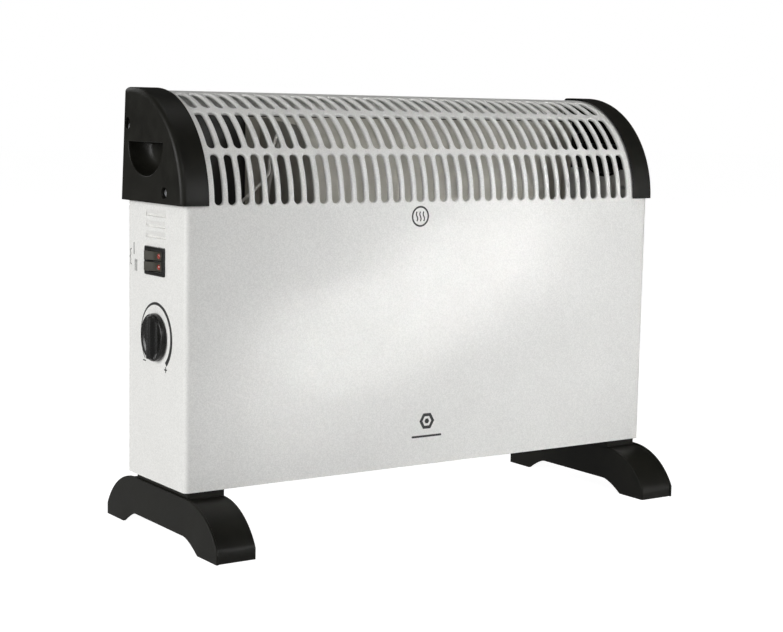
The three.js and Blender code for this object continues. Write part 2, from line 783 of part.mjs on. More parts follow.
// The right partition is full depth beside the element and a narrow strip above it.
function rightPartition() {
  const shoulder = curveZ - 12;
  const shape = outlineOf([
    [partitionY0, floorZ + gap],
    [partitionY0, shoulder - 30],
    [partitionY1 - stripDepth, shoulder],
    [partitionY1 - stripDepth, partitionTop],
    [partitionY1, partitionTop],
    [partitionY1, floorZ + gap],
  ]);
  return join(
    sweepX(shape, chamberRight, chamberRight + sheet),
    box(chamberRight, chamberRight + sheet + rightTab, partitionY1 - sheet, partitionY1,
      floorZ + 20, partitionTop));
}

// Coils side by side in two lower places and one upper, about the element's middle.
const coilPlaces = [[-18, -13], [18, -13], [0, 15]].slice(0, coilCount)
  .map(([y, z]) => ({ y: bodySetBack + y, z: elementZ + z }));
const micaPlaces = Array.from({ length: micaCount }, (_, i) =>
  chamberLeft + ((chamberRight - chamberLeft) * (i + 0.5)) / micaCount);

function addChamber() {
  const rodZ0 = elementZ - 6;
  add('left_partition', leftPartition(), aluminised());
  add('right_partition', rightPartition(), aluminised());
  const x0 = chamberLeft + gap;
  const x1 = chamberRight - gap;
  const rearY = partitionY1 - sheet - gap;
  add('rear_reflector', box(x0, x1, rearY - sheet / 2, rearY, floorZ + 24, partitionTop), aluminised());
  add('front_reflector', box(x0, x1, frontY + 10, frontY + 10 + sheet / 2, floorZ + 24, curveZ - 30),
    aluminised());
  const halfY = micaWidth / 2;
  const halfZ = micaHeight / 2;
  micaPlaces.forEach((x, i) => {
    const board = rectangle(THREE.Shape, bodySetBack - halfY, bodySetBack + halfY,
      elementZ - halfZ, elementZ + halfZ);
    coilPlaces.forEach(({ y, z }) => board.holes.push(holePath(y, z, coilRadius + 0.7, 8)));
    board.holes.push(holePath(bodySetBack, rodZ0, rodRadius + gap + 0.1, 8));
    add(`mica_board_${i + 1}`, sweepX(board, x - sheet / 2, x + sheet / 2), mica());
  });
  coilPlaces.forEach(({ y, z }, i) => {
    const coil = cut(
      rodX(coilRadius, chamberLeft + 8, chamberRight - 8, y, z, 8),
      rodX(coilRadius - coilWire, chamberLeft + 7, chamberRight - 7, y, z, 8));
    add(`heating_coil_${i + 1}`, coil, nichrome());
  });
  add('element_rod', rodX(rodRadius, x0, x1, bodySetBack, rodZ0, 8), zincSteel());
}

// ---------------------------------------------------------------- fan

const fanX = chamberMiddle;
const fanY = bodySetBack - 1.5;
const shroudZ = floorZ + gap;
const bridgeZ = shroudZ + shroudHeight + 4;
const stackZ = bridgeZ + sheet + gap;

function impeller() {
  const z0 = shroudZ + 3;
  const parts = [rodZ(hubRadius, z0, z0 + hubHeight, fanX, fanY, 16)];
  for (let i = 0; i < bladeCount; i += 1) {
    const blade = new THREE.BoxGeometry(impellerRadius - hubRadius + 3, 17, 1.4);
    blade.rotateX(rad(28)).translate((impellerRadius + hubRadius - 3) / 2, 0, 0);
    blade.rotateZ((i / bladeCount) * 2 * Math.PI).translate(fanX, fanY, z0 + hubHeight / 2);
    parts.push(solid(blade));
  }
  const bore = rodZ(spindleRadius + gap, z0 - 1, z0 + hubHeight + 1, fanX, fanY, 12);
  return cut(join(...parts).intersect(rodZ(impellerRadius, z0 - 5, z0 + 20, fanX, fanY, 24)), bore);
}

function addFan() {
  const wall = [
    [shroudRadius, shroudZ],
    [flangeRadius, shroudZ],
    [flangeRadius, shroudZ + 1],
    [shroudRadius + 1, shroudZ + 1],
    [shroudRadius + 1, shroudZ + shroudHeight],
    [shroudRadius, shroudZ + shroudHeight],
    [shroudRadius, shroudZ],
  ].map(([r, z]) => new THREE.Vector2(r, z));
  add('fan_shroud', new THREE.LatheGeometry(wall, 24).rotateX(Math.PI / 2).translate(fanX, fanY, 0),
    darkSteel());
  add('fan_impeller', impeller(), nylon());
  const rotorZ = stackZ;
  add('fan_rotor', join(
    rodZ(rotorRadius, rotorZ, rotorZ + stackHeight, fanX, fanY, 16),
    rodZ(spindleRadius, shroudZ + 3, rotorZ + stackHeight + 8, fanX, fanY, 12)), darkSteel());
  const stack = rectangle(THREE.Shape, fanX - 18, fanX + 36, fanY - 22, fanY + 22);
  stack.holes.push(holePath(fanX, fanY, rotorRadius + rotorGap, 16));
  stack.holes.push(rectangle(THREE.Path, fanX + 12.5, fanX + 25, fanY - 13, fanY + 13));
  add('fan_stator', sweepZ(stack, stackZ, stackZ + stackHeight), darkSteel());
  const coil = rectangle(THREE.Shape, fanX + 15, fanX + 46, stackZ - 5, stackZ + stackHeight + 5);
  coil.holes.push(rectangle(THREE.Path, fanX + 25 - gap, fanX + 36 + gap, stackZ - gap,
    stackZ + stackHeight + gap));
  add('fan_coil', sweepY(coil, fanY - 13 + gap, fanY + 13 - gap), copperCoil());
  const legX = flangeRadius - 1;
  const span = join(
    box(fanX - 6, fanX + 6, fanY - legX, fanY + legX, bridgeZ, bridgeZ + sheet),
    box(fanX - 6, fanX + 6, fanY - legX, fanY - legX + 2, shroudZ + 1 + gap, bridgeZ + sheet),
    box(fanX - 6, fanX + 6, fanY + legX - 2, fanY + legX, shroudZ + 1 + gap, bridgeZ + sheet));
  add('fan_bridge', cut(span, rodZ(spindleRadius + 0.2, bridgeZ - 3, bridgeZ + 4, fanX, fanY, 12)),
    zincSteel());
  const upperZ = stackZ + stackHeight + gap;
  const strap = join(
    box(fanX - 17, fanX + 13, fanY - 21, fanY - 15, upperZ, upperZ + 5),
    box(fanX - 17, fanX + 13, fanY + 15, fanY + 21, upperZ, upperZ + 5),
    box(fanX - 5, fanX + 5, fanY - 21, fanY + 21, upperZ + 4, upperZ + 5.4));
  add('fan_bearing_strap', cut(strap,
    rodZ(spindleRadius + 0.2, upperZ - 3, upperZ + 12, fanX, fanY, 12)), zincSteel());
}

// ---------------------------------------------------------------- wiring

const terminals = { x: -sideX + 60, y: bodySetBack + 26, z: floorZ + gap };

// A lead: a round section carried along a smooth route.
function lead(points) {
  const route = new THREE.CatmullRomCurve3(points.map(([x, y, z]) => new THREE.Vector3(x, y, z)));
  const section = new THREE.Shape();
  const sides = 6;
  for (let i = 0; i < sides; i += 1) {
    const angle = (i / sides) * 2 * Math.PI;
    const place = [leadRadius * Math.cos(angle), leadRadius * Math.sin(angle)];
    if (i === 0) {
      section.moveTo(...place);
    } else {
      section.lineTo(...place);
    }
  }
  return new THREE.ExtrudeGeometry(section, { steps: 14, extrudePath: route, bevelEnabled: false });
}

function addWiring() {
  const { x, y, z } = terminals;
  const blockTop = z + 14;
  const block = join(
    box(x - 18, x + 18, y - 9, y + 9, z, z + 8),
    ...[-12, 0, 12].map((step) => box(x + step - 4, x + step + 4, y - 6, y + 6, z + 7, blockTop)));
  add('terminal_block', block, nylon());
  const switchX = -sideX + wellDepth + 6 + gap + 2;
  const statX = -sideX + sheet + gap + thermostatDepth + gap + 2;
  const cutoutZ = elementZ + 52;
  const cutoutX = chamberLeft - sheet - gap;
  add('thermal_cutout', join(
    box(cutoutX - 1, cutoutX, bodySetBack - 13, bodySetBack + 13, cutoutZ - 6, cutoutZ + 6),
    rodX(8, cutoutX - 9, cutoutX - 0.5, bodySetBack, cutoutZ, 12)), bakelite());
  const above = blockTop + gap + leadRadius;
  const routes = {
    live_lead: { color: 0x7a4a2a, points: [
      [x - 12, y, above], [x - 14, y - 2, above + 30], [switchX + 16, y - 12, bezelZ - 60],
      [switchX + 10, bezelY + 8, bezelZ - 14], [switchX, bezelY + 6, bezelZ - 4]] },
    switch_lead: { color: 0x202020, points: [
      [switchX, bezelY - 4, bezelZ + 3], [switchX + 18, bezelY - 8, bezelZ - 6],
      [switchX + 18, knobY - 4, knobZ + 34], [statX, knobY - 4, knobZ + 8]] },
    element_lead: { color: 0xc03028, points: [
      [statX, knobY + 3, knobZ - 8], [statX + 26, knobY, knobZ - 22],
      [cutoutX - 40, bodySetBack - 4, elementZ + 10], [cutoutX - 8, bodySetBack, elementZ + 30]] },
    neutral_lead: { color: 0x2a4a9a, points: [
      [x + 12, y, above], [x + 18, y - 4, above + 34], [cutoutX - 30, bodySetBack + 14, elementZ + 20],
      [cutoutX - 16, bodySetBack + 4, cutoutZ - 14], [cutoutX - 12, bodySetBack, cutoutZ]] },
    fan_lead: { color: 0xe8e4da, points: [
      [switchX, bezelY + 4, bezelZ + 5], [switchX + 24, bezelY, bezelZ + 22],
      [cutoutX - 30, bodySetBack - 12, curveZ + 18], [cutoutX - 23, bodySetBack - 12, curveZ + 38],
      [cutoutX - 14, bodySetBack - 8, curveZ + 58], [cutoutX - 8, bodySetBack, curveZ + 46],
      [cutoutX - 14, bodySetBack + 6, curveZ + 4], [cutoutX - 12, bodySetBack + 5, cutoutZ + 14]] },
  };
  for (const [name, { color, points }] of Object.entries(routes)) {
    add(name, lead(points), sleeve(color));
  }
  const profile = [
    [cordHole, -7],
    [glandRadius + 1.6, -7],
    [glandRadius + 1.6, -sheet - gap],
    [glandRadius, -sheet - gap],
    [glandRadius, gap],
    [glandRadius + 2.6, gap],
    [glandRadius + 1.6, 2.2],
    [cordHole + 0.8, 2.2],
    [cordHole, 1.4],
    [cordHole, -7],
  ].map(([r, depth]) => new THREE.Vector2(r, depth));
  add('cord_gland', new THREE.LatheGeometry(profile, 16).translate(gland.x, rearPlateY, gland.z),
    blackPlastic());
}

// ---------------------------------------------------------------- assembly

// A mirror image across the casing's middle.
const mirrored = (body) => body.mirror([1, 0, 0]);

add('front_shell', frontShell(), whitePaint());
add('rear_panel', rearPanel(), whitePaint());
add('base_plate', basePlate(), zincSteel());
const cap = endCap();
add('left_end_cap', cap, blackPlastic());
add('right_end_cap', mirrored(cap), blackPlastic());
const oneFoot = foot();
add('left_foot', oneFoot, blackPlastic());
add('right_foot', mirrored(oneFoot), blackPlastic());

for (const [name, side] of [['left', -1], ['right', 1]]) {
  capScrews.forEach(({ y, z }, i) => {
    const seat = side * (sideX + gap + bossFloor + gap);
    addScrew(`${name}_cap_screw_${i + 1}`, 9, seat, y, z, outwards(side));
  });
}
footScrews.forEach(({ x, y }, i) => {
  const seat = archHeight + 8 + headHeight + 1 - gap;
  addScrew(`foot_screw_${i + 1}`, footHeight - seat + 6, x, y, seat, towardsFloor);
});
rearScrews.forEach(({ x, z }, i) =>
  addScrew(`rear_screw_${i + 1}`, 8, x, rearPlateY + gap, z, towardsRear));

add('switch_bezel', switchBezel(), glossBlack());
addRockers();
addThermostat();
addChamber();
addFan();
addWiring();

const root = new THREE.Group();
root.add(heater);

export default root;
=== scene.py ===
"""Looks of a fan convector heater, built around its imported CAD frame.

The casing's own frame has X = 0 at the casing's middle, in millimetres; the row frame is the same,
moved along X and in metres. The front faces -Y and the controls are on the left end, at -X.
"""
import logging
import math
from dataclasses import dataclass
from enum import Enum
from typing import Callable, Sequence

import bpy
import numpy as np
from mathutils import Matrix, Vector
from mathutils.geometry import delaunay_2d_cdt


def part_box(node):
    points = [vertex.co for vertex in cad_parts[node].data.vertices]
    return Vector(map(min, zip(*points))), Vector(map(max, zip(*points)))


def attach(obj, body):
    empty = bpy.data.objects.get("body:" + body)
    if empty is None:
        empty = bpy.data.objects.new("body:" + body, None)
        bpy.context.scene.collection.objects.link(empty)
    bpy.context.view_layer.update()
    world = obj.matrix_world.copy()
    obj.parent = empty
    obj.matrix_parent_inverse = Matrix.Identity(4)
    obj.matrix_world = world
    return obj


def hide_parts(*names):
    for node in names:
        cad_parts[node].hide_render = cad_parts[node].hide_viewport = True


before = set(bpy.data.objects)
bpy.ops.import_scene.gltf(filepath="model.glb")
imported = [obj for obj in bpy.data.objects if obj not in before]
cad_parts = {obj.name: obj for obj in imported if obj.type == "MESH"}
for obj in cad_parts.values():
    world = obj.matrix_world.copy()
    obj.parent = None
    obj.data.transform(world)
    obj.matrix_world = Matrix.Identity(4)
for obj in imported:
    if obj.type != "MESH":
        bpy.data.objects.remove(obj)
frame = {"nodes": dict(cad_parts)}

Array = np.ndarray
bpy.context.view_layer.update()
LOG = logging.getLogger("heater")
MM = 0.001
TAU = 2 * math.pi


class Body(Enum):
    """The CAD bodies that pieces ride on."""

    HEATER = "heater_body"
    KNOB = "knob"
    UPPER = "upper_switch"
    LOWER = "lower_switch"
    FAN = "fan"


# ------------------------------------------------------------------ shared sizes


@dataclass(frozen=True)
class Casing:
    """Sizes of the casing that other pieces fit to, in millimetres."""

    width: float = 518.0
    depth: float = 109.0
    set_back: float = 1.5
    bottom: float = 50.0
    panel: float = 244.5
    curve: float = 96.4
    bend: float = 4.7
    sheet: float = 1.0
    recess: float = 2.7

    @property
    def side(self) -> float:
        """Half the width."""
        return self.width / 2

    @property
    def front(self) -> float:
        """Y of the front wall."""
        return self.set_back - self.depth / 2

    @property
    def back(self) -> float:
        """Y of the sides' rear edge."""
        return self.set_back + self.depth / 2

    @property
    def spring(self) -> float:
        """Z where the rounded top starts."""
        return self.bottom + self.panel

    @property
    def centre(self) -> float:
        """Y of the rounded top's centre."""
        return self.front + self.curve

    @property
    def top(self) -> float:
        """Z of the highest point."""
        return self.spring + self.curve

    @property
    def rear_plate(self) -> float:
        """Y of the rear cover's outside."""
        return self.back - self.recess

    @property
    def flange(self) -> float:
        """Y of the rear flanges' outside."""
        return self.rear_plate - self.sheet - 0.3


CASE = Casing()
MID = CASE.set_back
DIAL_AT = (MID, 178.0)
SWITCH_AT = (3.3, 244.0)
ELEMENT_Z = 169.3
TRAY_TOP = 51.3


def shift_x() -> float:
    """X of the casing's middle in the row frame, in millimetres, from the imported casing.

    Returns:
        The shift.
    """
    low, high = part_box("front_shell")
    return (low.x + high.x) / 2 / MM


SHIFT = shift_x()

# ------------------------------------------------------------------ mesh building


class Skin:
    """Gathers grids of points and flat plates, and welds them into one mesh."""

    def __init__(self) -> None:
        """Starts empty."""
        self.points: list[Array] = []
        self.faces: list[Array] = []
        self.count = 0

    def grid(self, points: Array, ring: bool = False, flip: bool = False,
             keep: Array | None = None) -> "Skin":
        """Adds one grid, or a stack of equal grids, of shape (..., rows, columns, 3).

        Face (i, j) joins points (i, j), (i, j+1), (i+1, j+1), (i+1, j).

        Args:
            points: the grid's points, in millimetres.
            ring: whether the last column joins the first.
            flip: whether the faces turn over.
            keep: which faces stay, of shape (rows - 1, columns or columns - 1).

        Returns:
            This skin.
        """
        stack = np.asarray(points, float).reshape((-1,) + points.shape[-3:])
        number, rows, columns = stack.shape[:3]
        index = np.arange(rows * columns).reshape(rows, columns)
        if ring:
            index = np.concatenate([index, index[:, :1]], axis=1)
        corners = [index[:-1, :-1], index[:-1, 1:], index[1:, 1:], index[1:, :-1]]
        quads = np.stack(corners[::-1] if flip else corners, axis=-1)
        quads = quads[keep] if keep is not None else quads.reshape(-1, 4)
        offsets = self.count + rows * columns * np.arange(number)[:, None, None]
        self.faces.append((quads[None] + offsets).reshape(-1, 4))
        self.points.append(stack.reshape(-1, 3))
        self.count += len(self.points[-1])
        return self

    def plate(self, loops: Sequence[Array], place: Callable[[Array], Array],
              flip: bool = False) -> "Skin":
        """Adds a flat face inside the first closed outline and outside the others.

        Args:
            loops: outlines in the plate's own plane, each (n, 2).
            place: turns (n, 2) plane points into (n, 3) points.
            flip: whether the faces turn over.

        Returns:
            This skin.
        """
        flat = np.concatenate(loops)
        starts = np.cumsum([0] + [len(loop) for loop in loops])
        faces = [list(range(a, b)) for a, b in zip(starts, starts[1:])]
        outer, holes = faces[0], faces[1:]
        edges = [(i, j) for hole in holes for i, j in zip(hole, hole[1:] + hole[:1])]
        found = delaunay_2d_cdt([Vector(p) for p in flat], edges, [outer], 1, 1e-5)
        spots = np.array([tuple(v) for v in found[0]])
        tris = np.array([f for f in found[2]])
        middles = spots[tris].mean(axis=1)
        outside = np.ones(len(tris), bool)
        for a, b in zip(starts[1:], starts[2:]):
            outside &= ~within(middles, flat[a:b])
        tris = tris[outside]
        a, b, c = (spots[tris[:, k]] for k in range(3))
        turn = (b[:, 0] - a[:, 0]) * (c[:, 1] - a[:, 1]) - (b[:, 1] - a[:, 1]) * (c[:, 0] - a[:, 0])
        tris = np.where((turn < 0)[:, None], tris[:, ::-1], tris)
        if flip:
            tris = tris[:, ::-1]
        self.faces.append(np.concatenate([tris, tris[:, :1]], axis=1) + self.count)
        self.points.append(place(spots))
        self.count += len(spots)
        return self

    def mirrored(self) -> "Skin":
        """The same skin on the other end, with its faces turned to stay outward."""
        self.points = [p * (-1, 1, 1) for p in self.points]
        self.faces = [f[:, ::-1] for f in self.faces]
        return self

    def welded(self, tolerance: float = 2e-3) -> tuple[Array, list[tuple[int, ...]]]:
        """Joins points that share a place, and drops faces without area.

        Args:
            tolerance: the places' rounding, in millimetres.

        Returns:
            The points, and the faces as tuples of three or four indices.
        """
        points = np.concatenate(self.points)
        keys = np.round(points / tolerance).astype(np.int64)
        _, first, inverse = np.unique(keys, axis=0, return_index=True, return_inverse=True)
        faces = inverse.reshape(-1)[np.concatenate(self.faces)]
        same = faces == np.roll(faces, -1, axis=1)
        quads = faces[same.sum(axis=1) == 0]
        short = faces[same.sum(axis=1) == 1]
        gap = same[same.sum(axis=1) == 1]
        tris = short[~gap].reshape(-1, 3)
        rows = [tuple(q) for q in quads.tolist()] + [tuple(t) for t in tris.tolist()]
        return points[first], [r for r in rows if len(set(r)) == len(r)]


def within(points: Array, loop: Array) -> Array:
    """Which points lie inside a closed outline, by counting crossings.

    Args:
        points: (n, 2) points.
        loop: (m, 2) outline.

    Returns:
        A boolean for each point.
    """
    ax, ay = loop[:, 0][None], loop[:, 1][None]
    bx, by = np.roll(loop[:, 0], -1)[None], np.roll(loop[:, 1], -1)[None]
    px, py = points[:, :1], points[:, 1:]
    spans = (ay > py) != (by > py)
    rise = np.where(by == ay, 1e-9, by - ay)
    return (spans & (px < (bx - ax) * (py - ay) / rise + ax)).sum(axis=1) % 2 == 1


def offset(loop: Array, distance: float | Array) -> Array:
    """Moves a closed anticlockwise outline inward along its corners' mitres.

    Args:
        loop: (n, 2) outline.
        distance: how far inward; negative is outward.

    Returns:
        The moved outline.
    """
    before = loop - np.roll(loop, 1, axis=0)
    after = np.roll(loop, -1, axis=0) - loop
    unit = lambda v: v / np.maximum(np.linalg.norm(v, axis=1, keepdims=True), 1e-9)
    n1, n2 = (unit(v) @ np.array([[0.0, 1.0], [-1.0, 0.0]]) for v in (before, after))
    mitre = unit(n1 + n2)
    stretch = 1 / np.maximum((mitre * n1).sum(axis=1, keepdims=True), 0.5)
    return loop + mitre * stretch * np.reshape(distance, (-1, 1))


def arc(cx: float, cy: float, radius: float, start: float, end: float, steps: int) -> Array:
    """Points (cx + r cos a, cy + r sin a) for angles from start to end, in degrees.

    Args:
        cx: centre's first coordinate.
        cy: centre's second coordinate.
        radius: the radius.
        start: first angle.
        end: last angle.
        steps: how many chords.

    Returns:
        (steps + 1, 2) points.
    """
    a = np.radians(np.linspace(start, end, steps + 1))
    return np.stack([cx + radius * np.cos(a), cy + radius * np.sin(a)], axis=1)


def circle(cx: float, cy: float, radius: float, steps: int = 40) -> Array:
    """A closed anticlockwise circle, without its doubled end point."""
    return arc(cx, cy, radius, 0, 360, steps)[:-1]


def rounded_box(x0: float, x1: float, y0: float, y1: float, radius: float, steps: int = 5) -> Array:
    """A closed anticlockwise rectangle with quarter-circle corners."""
    r = radius
    return np.concatenate([
        arc(x1 - r, y0 + r, r, -90, 0, steps), arc(x1 - r, y1 - r, r, 0, 90, steps),
        arc(x0 + r, y1 - r, r, 90, 180, steps), arc(x0 + r, y0 + r, r, 180, 270, steps)])


def centred_box(cx: float, cy: float, half_x: float, half_y: float, radius: float,
                steps: int = 5) -> Array:
    """A rounded box round its middle."""
    return rounded_box(cx - half_x, cx + half_x, cy - half_y, cy + half_y, radius, steps)


def upright(plan: Array, heights: Sequence[float], left: bool) -> Skin:
    """A sheet that stands on a plan outline in X and Y.

    Args:
        plan: (n, 2) points of the right end's plan.
        heights: the Z of each row.
        left: whether it stands on the left end, mirrored.

    Returns:
        The open sheet.
    """
    sign = -1 if left else 1
    rows = [on_z(z)(plan * (sign, 1)) for z in heights]
    return Skin().grid(np.stack(rows), flip=left)


def stadium(cx: float, y0: float, y1: float, half: float, steps: int = 8) -> Array:
    """A closed anticlockwise slot outline with half-circle ends, upright in its plane."""
    return np.concatenate([
        arc(cx, y1 - half, half, 0, 180, steps), arc(cx, y0 + half, half, 180, 360, steps)])


def on_x(x: float) -> Callable[[Array], Array]:
    """Places plane points (a, b) at (x, a, b)."""
    return lambda p: np.stack([np.full(len(p), x), p[:, 0], p[:, 1]], axis=1)


def on_y(y: float) -> Callable[[Array], Array]:
    """Places plane points (a, b) at (a, y, b)."""
    return lambda p: np.stack([p[:, 0], np.full(len(p), y), p[:, 1]], axis=1)


def on_z(z: float) -> Callable[[Array], Array]:
    """Places plane points (a, b) at (a, b, z)."""
    return lambda p: np.stack([p[:, 0], p[:, 1], np.full(len(p), z)], axis=1)


PLACERS = {"x": on_x, "y": on_y, "z": on_z}
TURNED = {"x": False, "y": True, "z": False}


def slab(outline: Array, axis: str, low: float, high: float, edge: float = 0.0,
         holes: Sequence[Array] = (), steps: int = 3, low_edge: float | None = None) -> Skin:
    """A closed prism with rounded rims: an outline at heights h(a) and insets d(a).

    Round a rim of radius r the outline at angle a has inset r (1 - sin a) and height r (1 - cos a)
    below the face; holes grow by the same inset.

    Args:
        outline: closed anticlockwise outline in the plane across the axis.
        axis: x, y or z, the axis the prism runs along.
        low: where it starts on the axis.
        high: where it ends.
        edge: the rims' radius.
        holes: outlines of through holes, anticlockwise.
        steps: chords round each rim.
        low_edge: the lower rim's radius, if not the same.

    Returns:
        The prism's skin.
    """
    under = edge if low_edge is None else low_edge
    turn = np.linspace(0, math.pi / 2, steps + 1)
    insets = np.concatenate([under * (1 - np.sin(turn)), edge * (1 - np.sin(turn[::-1]))])
    heights = np.concatenate([low + under * (1 - np.cos(turn)),
                              high - edge * (1 - np.cos(turn[::-1]))])
    place, flip = PLACERS[axis], TURNED[axis]
    skin = Skin()
    rims = [np.stack([place(h)(offset(outline, d)) for d, h in zip(insets, heights)])]
    rims += [np.stack([place(h)(offset(hole, -d)) for d, h in zip(insets, heights)])
             for hole in holes]
    skin.grid(rims[0], ring=True, flip=flip)
    for rim in rims[1:]:
        skin.grid(rim, ring=True, flip=not flip)
    for inset, height, over in ((insets[-1], high, flip), (insets[0], low, not flip)):
        loops = [offset(outline, inset)] + [offset(hole, -inset) for hole in holes]
        skin.plate(loops, place(height), flip=over)
    return skin


def lathe(profile: Array, axis: str, centre: Sequence[float], steps: int = 48,
          shape: Callable[[Array, Array, Array], Array] | None = None) -> Skin:
    """A profile of (radius, height) pairs turned about an axis: r cos t, r sin t, h.

    Args:
        profile: (n, 2) pairs, from the axis at the outer face back to the axis.
        axis: x, y, z or -x, -y, -z, the way that height points.
        centre: where height 0 lies on the axis.
        steps: chords round the axis.
        shape: optional change of the heights, given p, q across the axis and h.

    Returns:
        The turned skin.
    """
    t = np.arange(steps) * TAU / steps
    r, h = profile[:, :1], profile[:, 1:] + 0 * t
    p, q = r * np.cos(t), r * np.sin(t)
    if shape is not None:
        h = shape(p, q, h)
    sign = -1.0 if axis.startswith("-") else 1.0
    order = {"x": (h * sign, p, q * sign), "y": (q * sign, h * sign, p), "z": (p, q * sign, h * sign)}
    return Skin().grid(np.stack(order[axis[-1]], axis=-1) + np.array(centre), ring=True, flip=True)


def tube(path: Array, radius: float, sides: int = 10) -> Skin:
    """A round section carried along a path: path + r (cos t · across + sin t · up).

    Args:
        path: (n, 3) points.
        radius: the section's radius.
        sides: the section's chords.

    Returns:
        A closed skin with flat ends.
    """
    along = np.gradient(path, axis=0)
    along /= np.linalg.norm(along, axis=1, keepdims=True)
    across = np.cross(along, (0.31, 0.2, 0.93))
    across /= np.linalg.norm(across, axis=1, keepdims=True)
    up = np.cross(along, across)
    t = np.arange(sides) * TAU / sides
    ring = path[:, None] + radius * (np.cos(t)[None, :, None] * across[:, None]
                                     + np.sin(t)[None, :, None] * up[:, None])
    ends = [np.repeat(path[:1][None], sides, axis=1), np.repeat(path[-1:][None], sides, axis=1)]
    return Skin().grid(np.concatenate([ends[0], ring, ends[1]]), ring=True)


def smooth_path(knots: Sequence[Sequence[float]], steps: int = 12) -> Array:
    """A Catmull-Rom curve through the knots.

    Args:
        knots: the points it passes through.
        steps: chords between two knots.

    Returns:
        (n, 3) points.
    """
    k = np.array(knots, float)
    k = np.concatenate([2 * k[:1] - k[1:2], k, 2 * k[-1:] - k[-2:-1]])
    t = (np.arange(steps) / steps)[None, :, None]
    a, b, c, d = (k[i:len(k) - 3 + i][:, None] for i in range(4))
    curve = 0.5 * (2 * b + (c - a) * t + (2 * a - 5 * b + 4 * c - d) * t ** 2
                   + (3 * b - a - 3 * c + d) * t ** 3)
    return np.concatenate([curve.reshape(-1, 3), k[-2:-1]])


def ease(x: Array) -> Array:
    """Smooth step 3x² - 2x³ of x held to 0..1."""
    x = np.clip(x, 0, 1)
    return x * x * (3 - 2 * x)


def joined(*skins: Skin) -> Skin:
    """One skin that holds the others' points and faces."""
    whole = Skin()
    for skin in skins:
        whole.points += skin.points
        whole.faces += [faces + whole.count for faces in skin.faces]
        whole.count += skin.count
    return whole


def moved(skin: Skin, turn_z: float, to: Sequence[float]) -> Skin:
    """Turns a skin about Z by an angle in degrees, then moves it.

    Args:
        skin: the skin, which is changed.
        turn_z: the angle.
        to: the move, in millimetres.

    Returns:
        The same skin.
    """
    turn = np.array(Matrix.Rotation(math.radians(turn_z), 3, "Z"))
    skin.points = [p @ turn.T + np.array(to) for p in skin.points]
    return skin


# ------------------------------------------------------------------ finishes


class Graph:
    """A short way to write a material's nodes."""

    def __init__(self, name: str) -> None:
        """Makes a material with a Principled shader.

        Args:
            name: the material's name.
        """
        self.material = bpy.data.materials.new(name)
        self.material.use_nodes = True
        self.tree = self.material.node_tree
        self.shader = self.tree.nodes["Principled BSDF"]
        self.place = self.node("ShaderNodeTexCoord").outputs["Object"]

    def node(self, kind: str, inputs: dict | None = None, **settings: object) -> bpy.types.Node:
        """Adds a node, sets its properties, and fills or links its inputs.

        Args:
            kind: the node's class.
            inputs: a value or an output socket for each input's name or number.
            **settings: the node's own properties.

        Returns:
            The node.
        """
        node = self.tree.nodes.new(kind)
        for key, value in settings.items():
            setattr(node, key, value)
        for key, value in (inputs or {}).items():
            if isinstance(value, bpy.types.NodeSocket):
                self.tree.links.new(value, node.inputs[key])
            else:
                node.inputs[key].default_value = value
        return node

    def link(self, socket: bpy.types.NodeSocket, name: str) -> None:
        """Links an output to one of the shader's inputs."""
        self.tree.links.new(socket, self.shader.inputs[name])

    def noise(self, grain: float, detail: float = 3.0,
              stretch: Sequence[float] = (1, 1, 1)) -> bpy.types.NodeSocket:
        """Noise on Object coordinates, with lumps of about the given size.

        Args:
            grain: the lumps' size, in millimetres.
            detail: how many finer layers.
            stretch: how much finer it is along each axis.

        Returns:
            The noise's height, 0 to 1.
        """
        where = self.node("ShaderNodeMapping", {"Vector": self.place, "Scale": tuple(stretch)})
        return self.node("ShaderNodeTexNoise", {
            "Vector": where.outputs[0], "Scale": 1 / (grain * MM), "Detail": detail}).outputs["Fac"]

    def math(self, operation: str, *values: object) -> bpy.types.NodeSocket:
        """A Math node's result."""
        return self.node("ShaderNodeMath", dict(enumerate(values)), operation=operation).outputs[0]

    def spread(self, value: bpy.types.NodeSocket, low: float, high: float,
               start: float = 0.3, end: float = 0.7) -> bpy.types.NodeSocket:
        """Maps a value from start..end to low..high."""
        return self.node("ShaderNodeMapRange", {
            "Value": value, 1: start, 2: end, 3: low, 4: high}).outputs[0]

    def blend(self, share: bpy.types.NodeSocket, first: object, second: object
              ) -> bpy.types.NodeSocket:
        """Mixes two colours by a share from 0 to 1."""
        return self.node("ShaderNodeMix", {"Factor": share, 6: first, 7: second},
                         data_type="RGBA").outputs[2]

    def relief(self, height: bpy.types.NodeSocket, depth: float) -> None:
        """Raises the surface by a height map.

        Args:
            height: the map, 0 to 1.
            depth: its depth, in millimetres.
        """
        bump = self.node("ShaderNodeBump", {"Height": height, "Distance": depth * MM})
        bump.inputs["Strength"].default_value = 1.0
        self.link(bump.outputs[0], "Normal")


Colour = tuple[float, float, float]


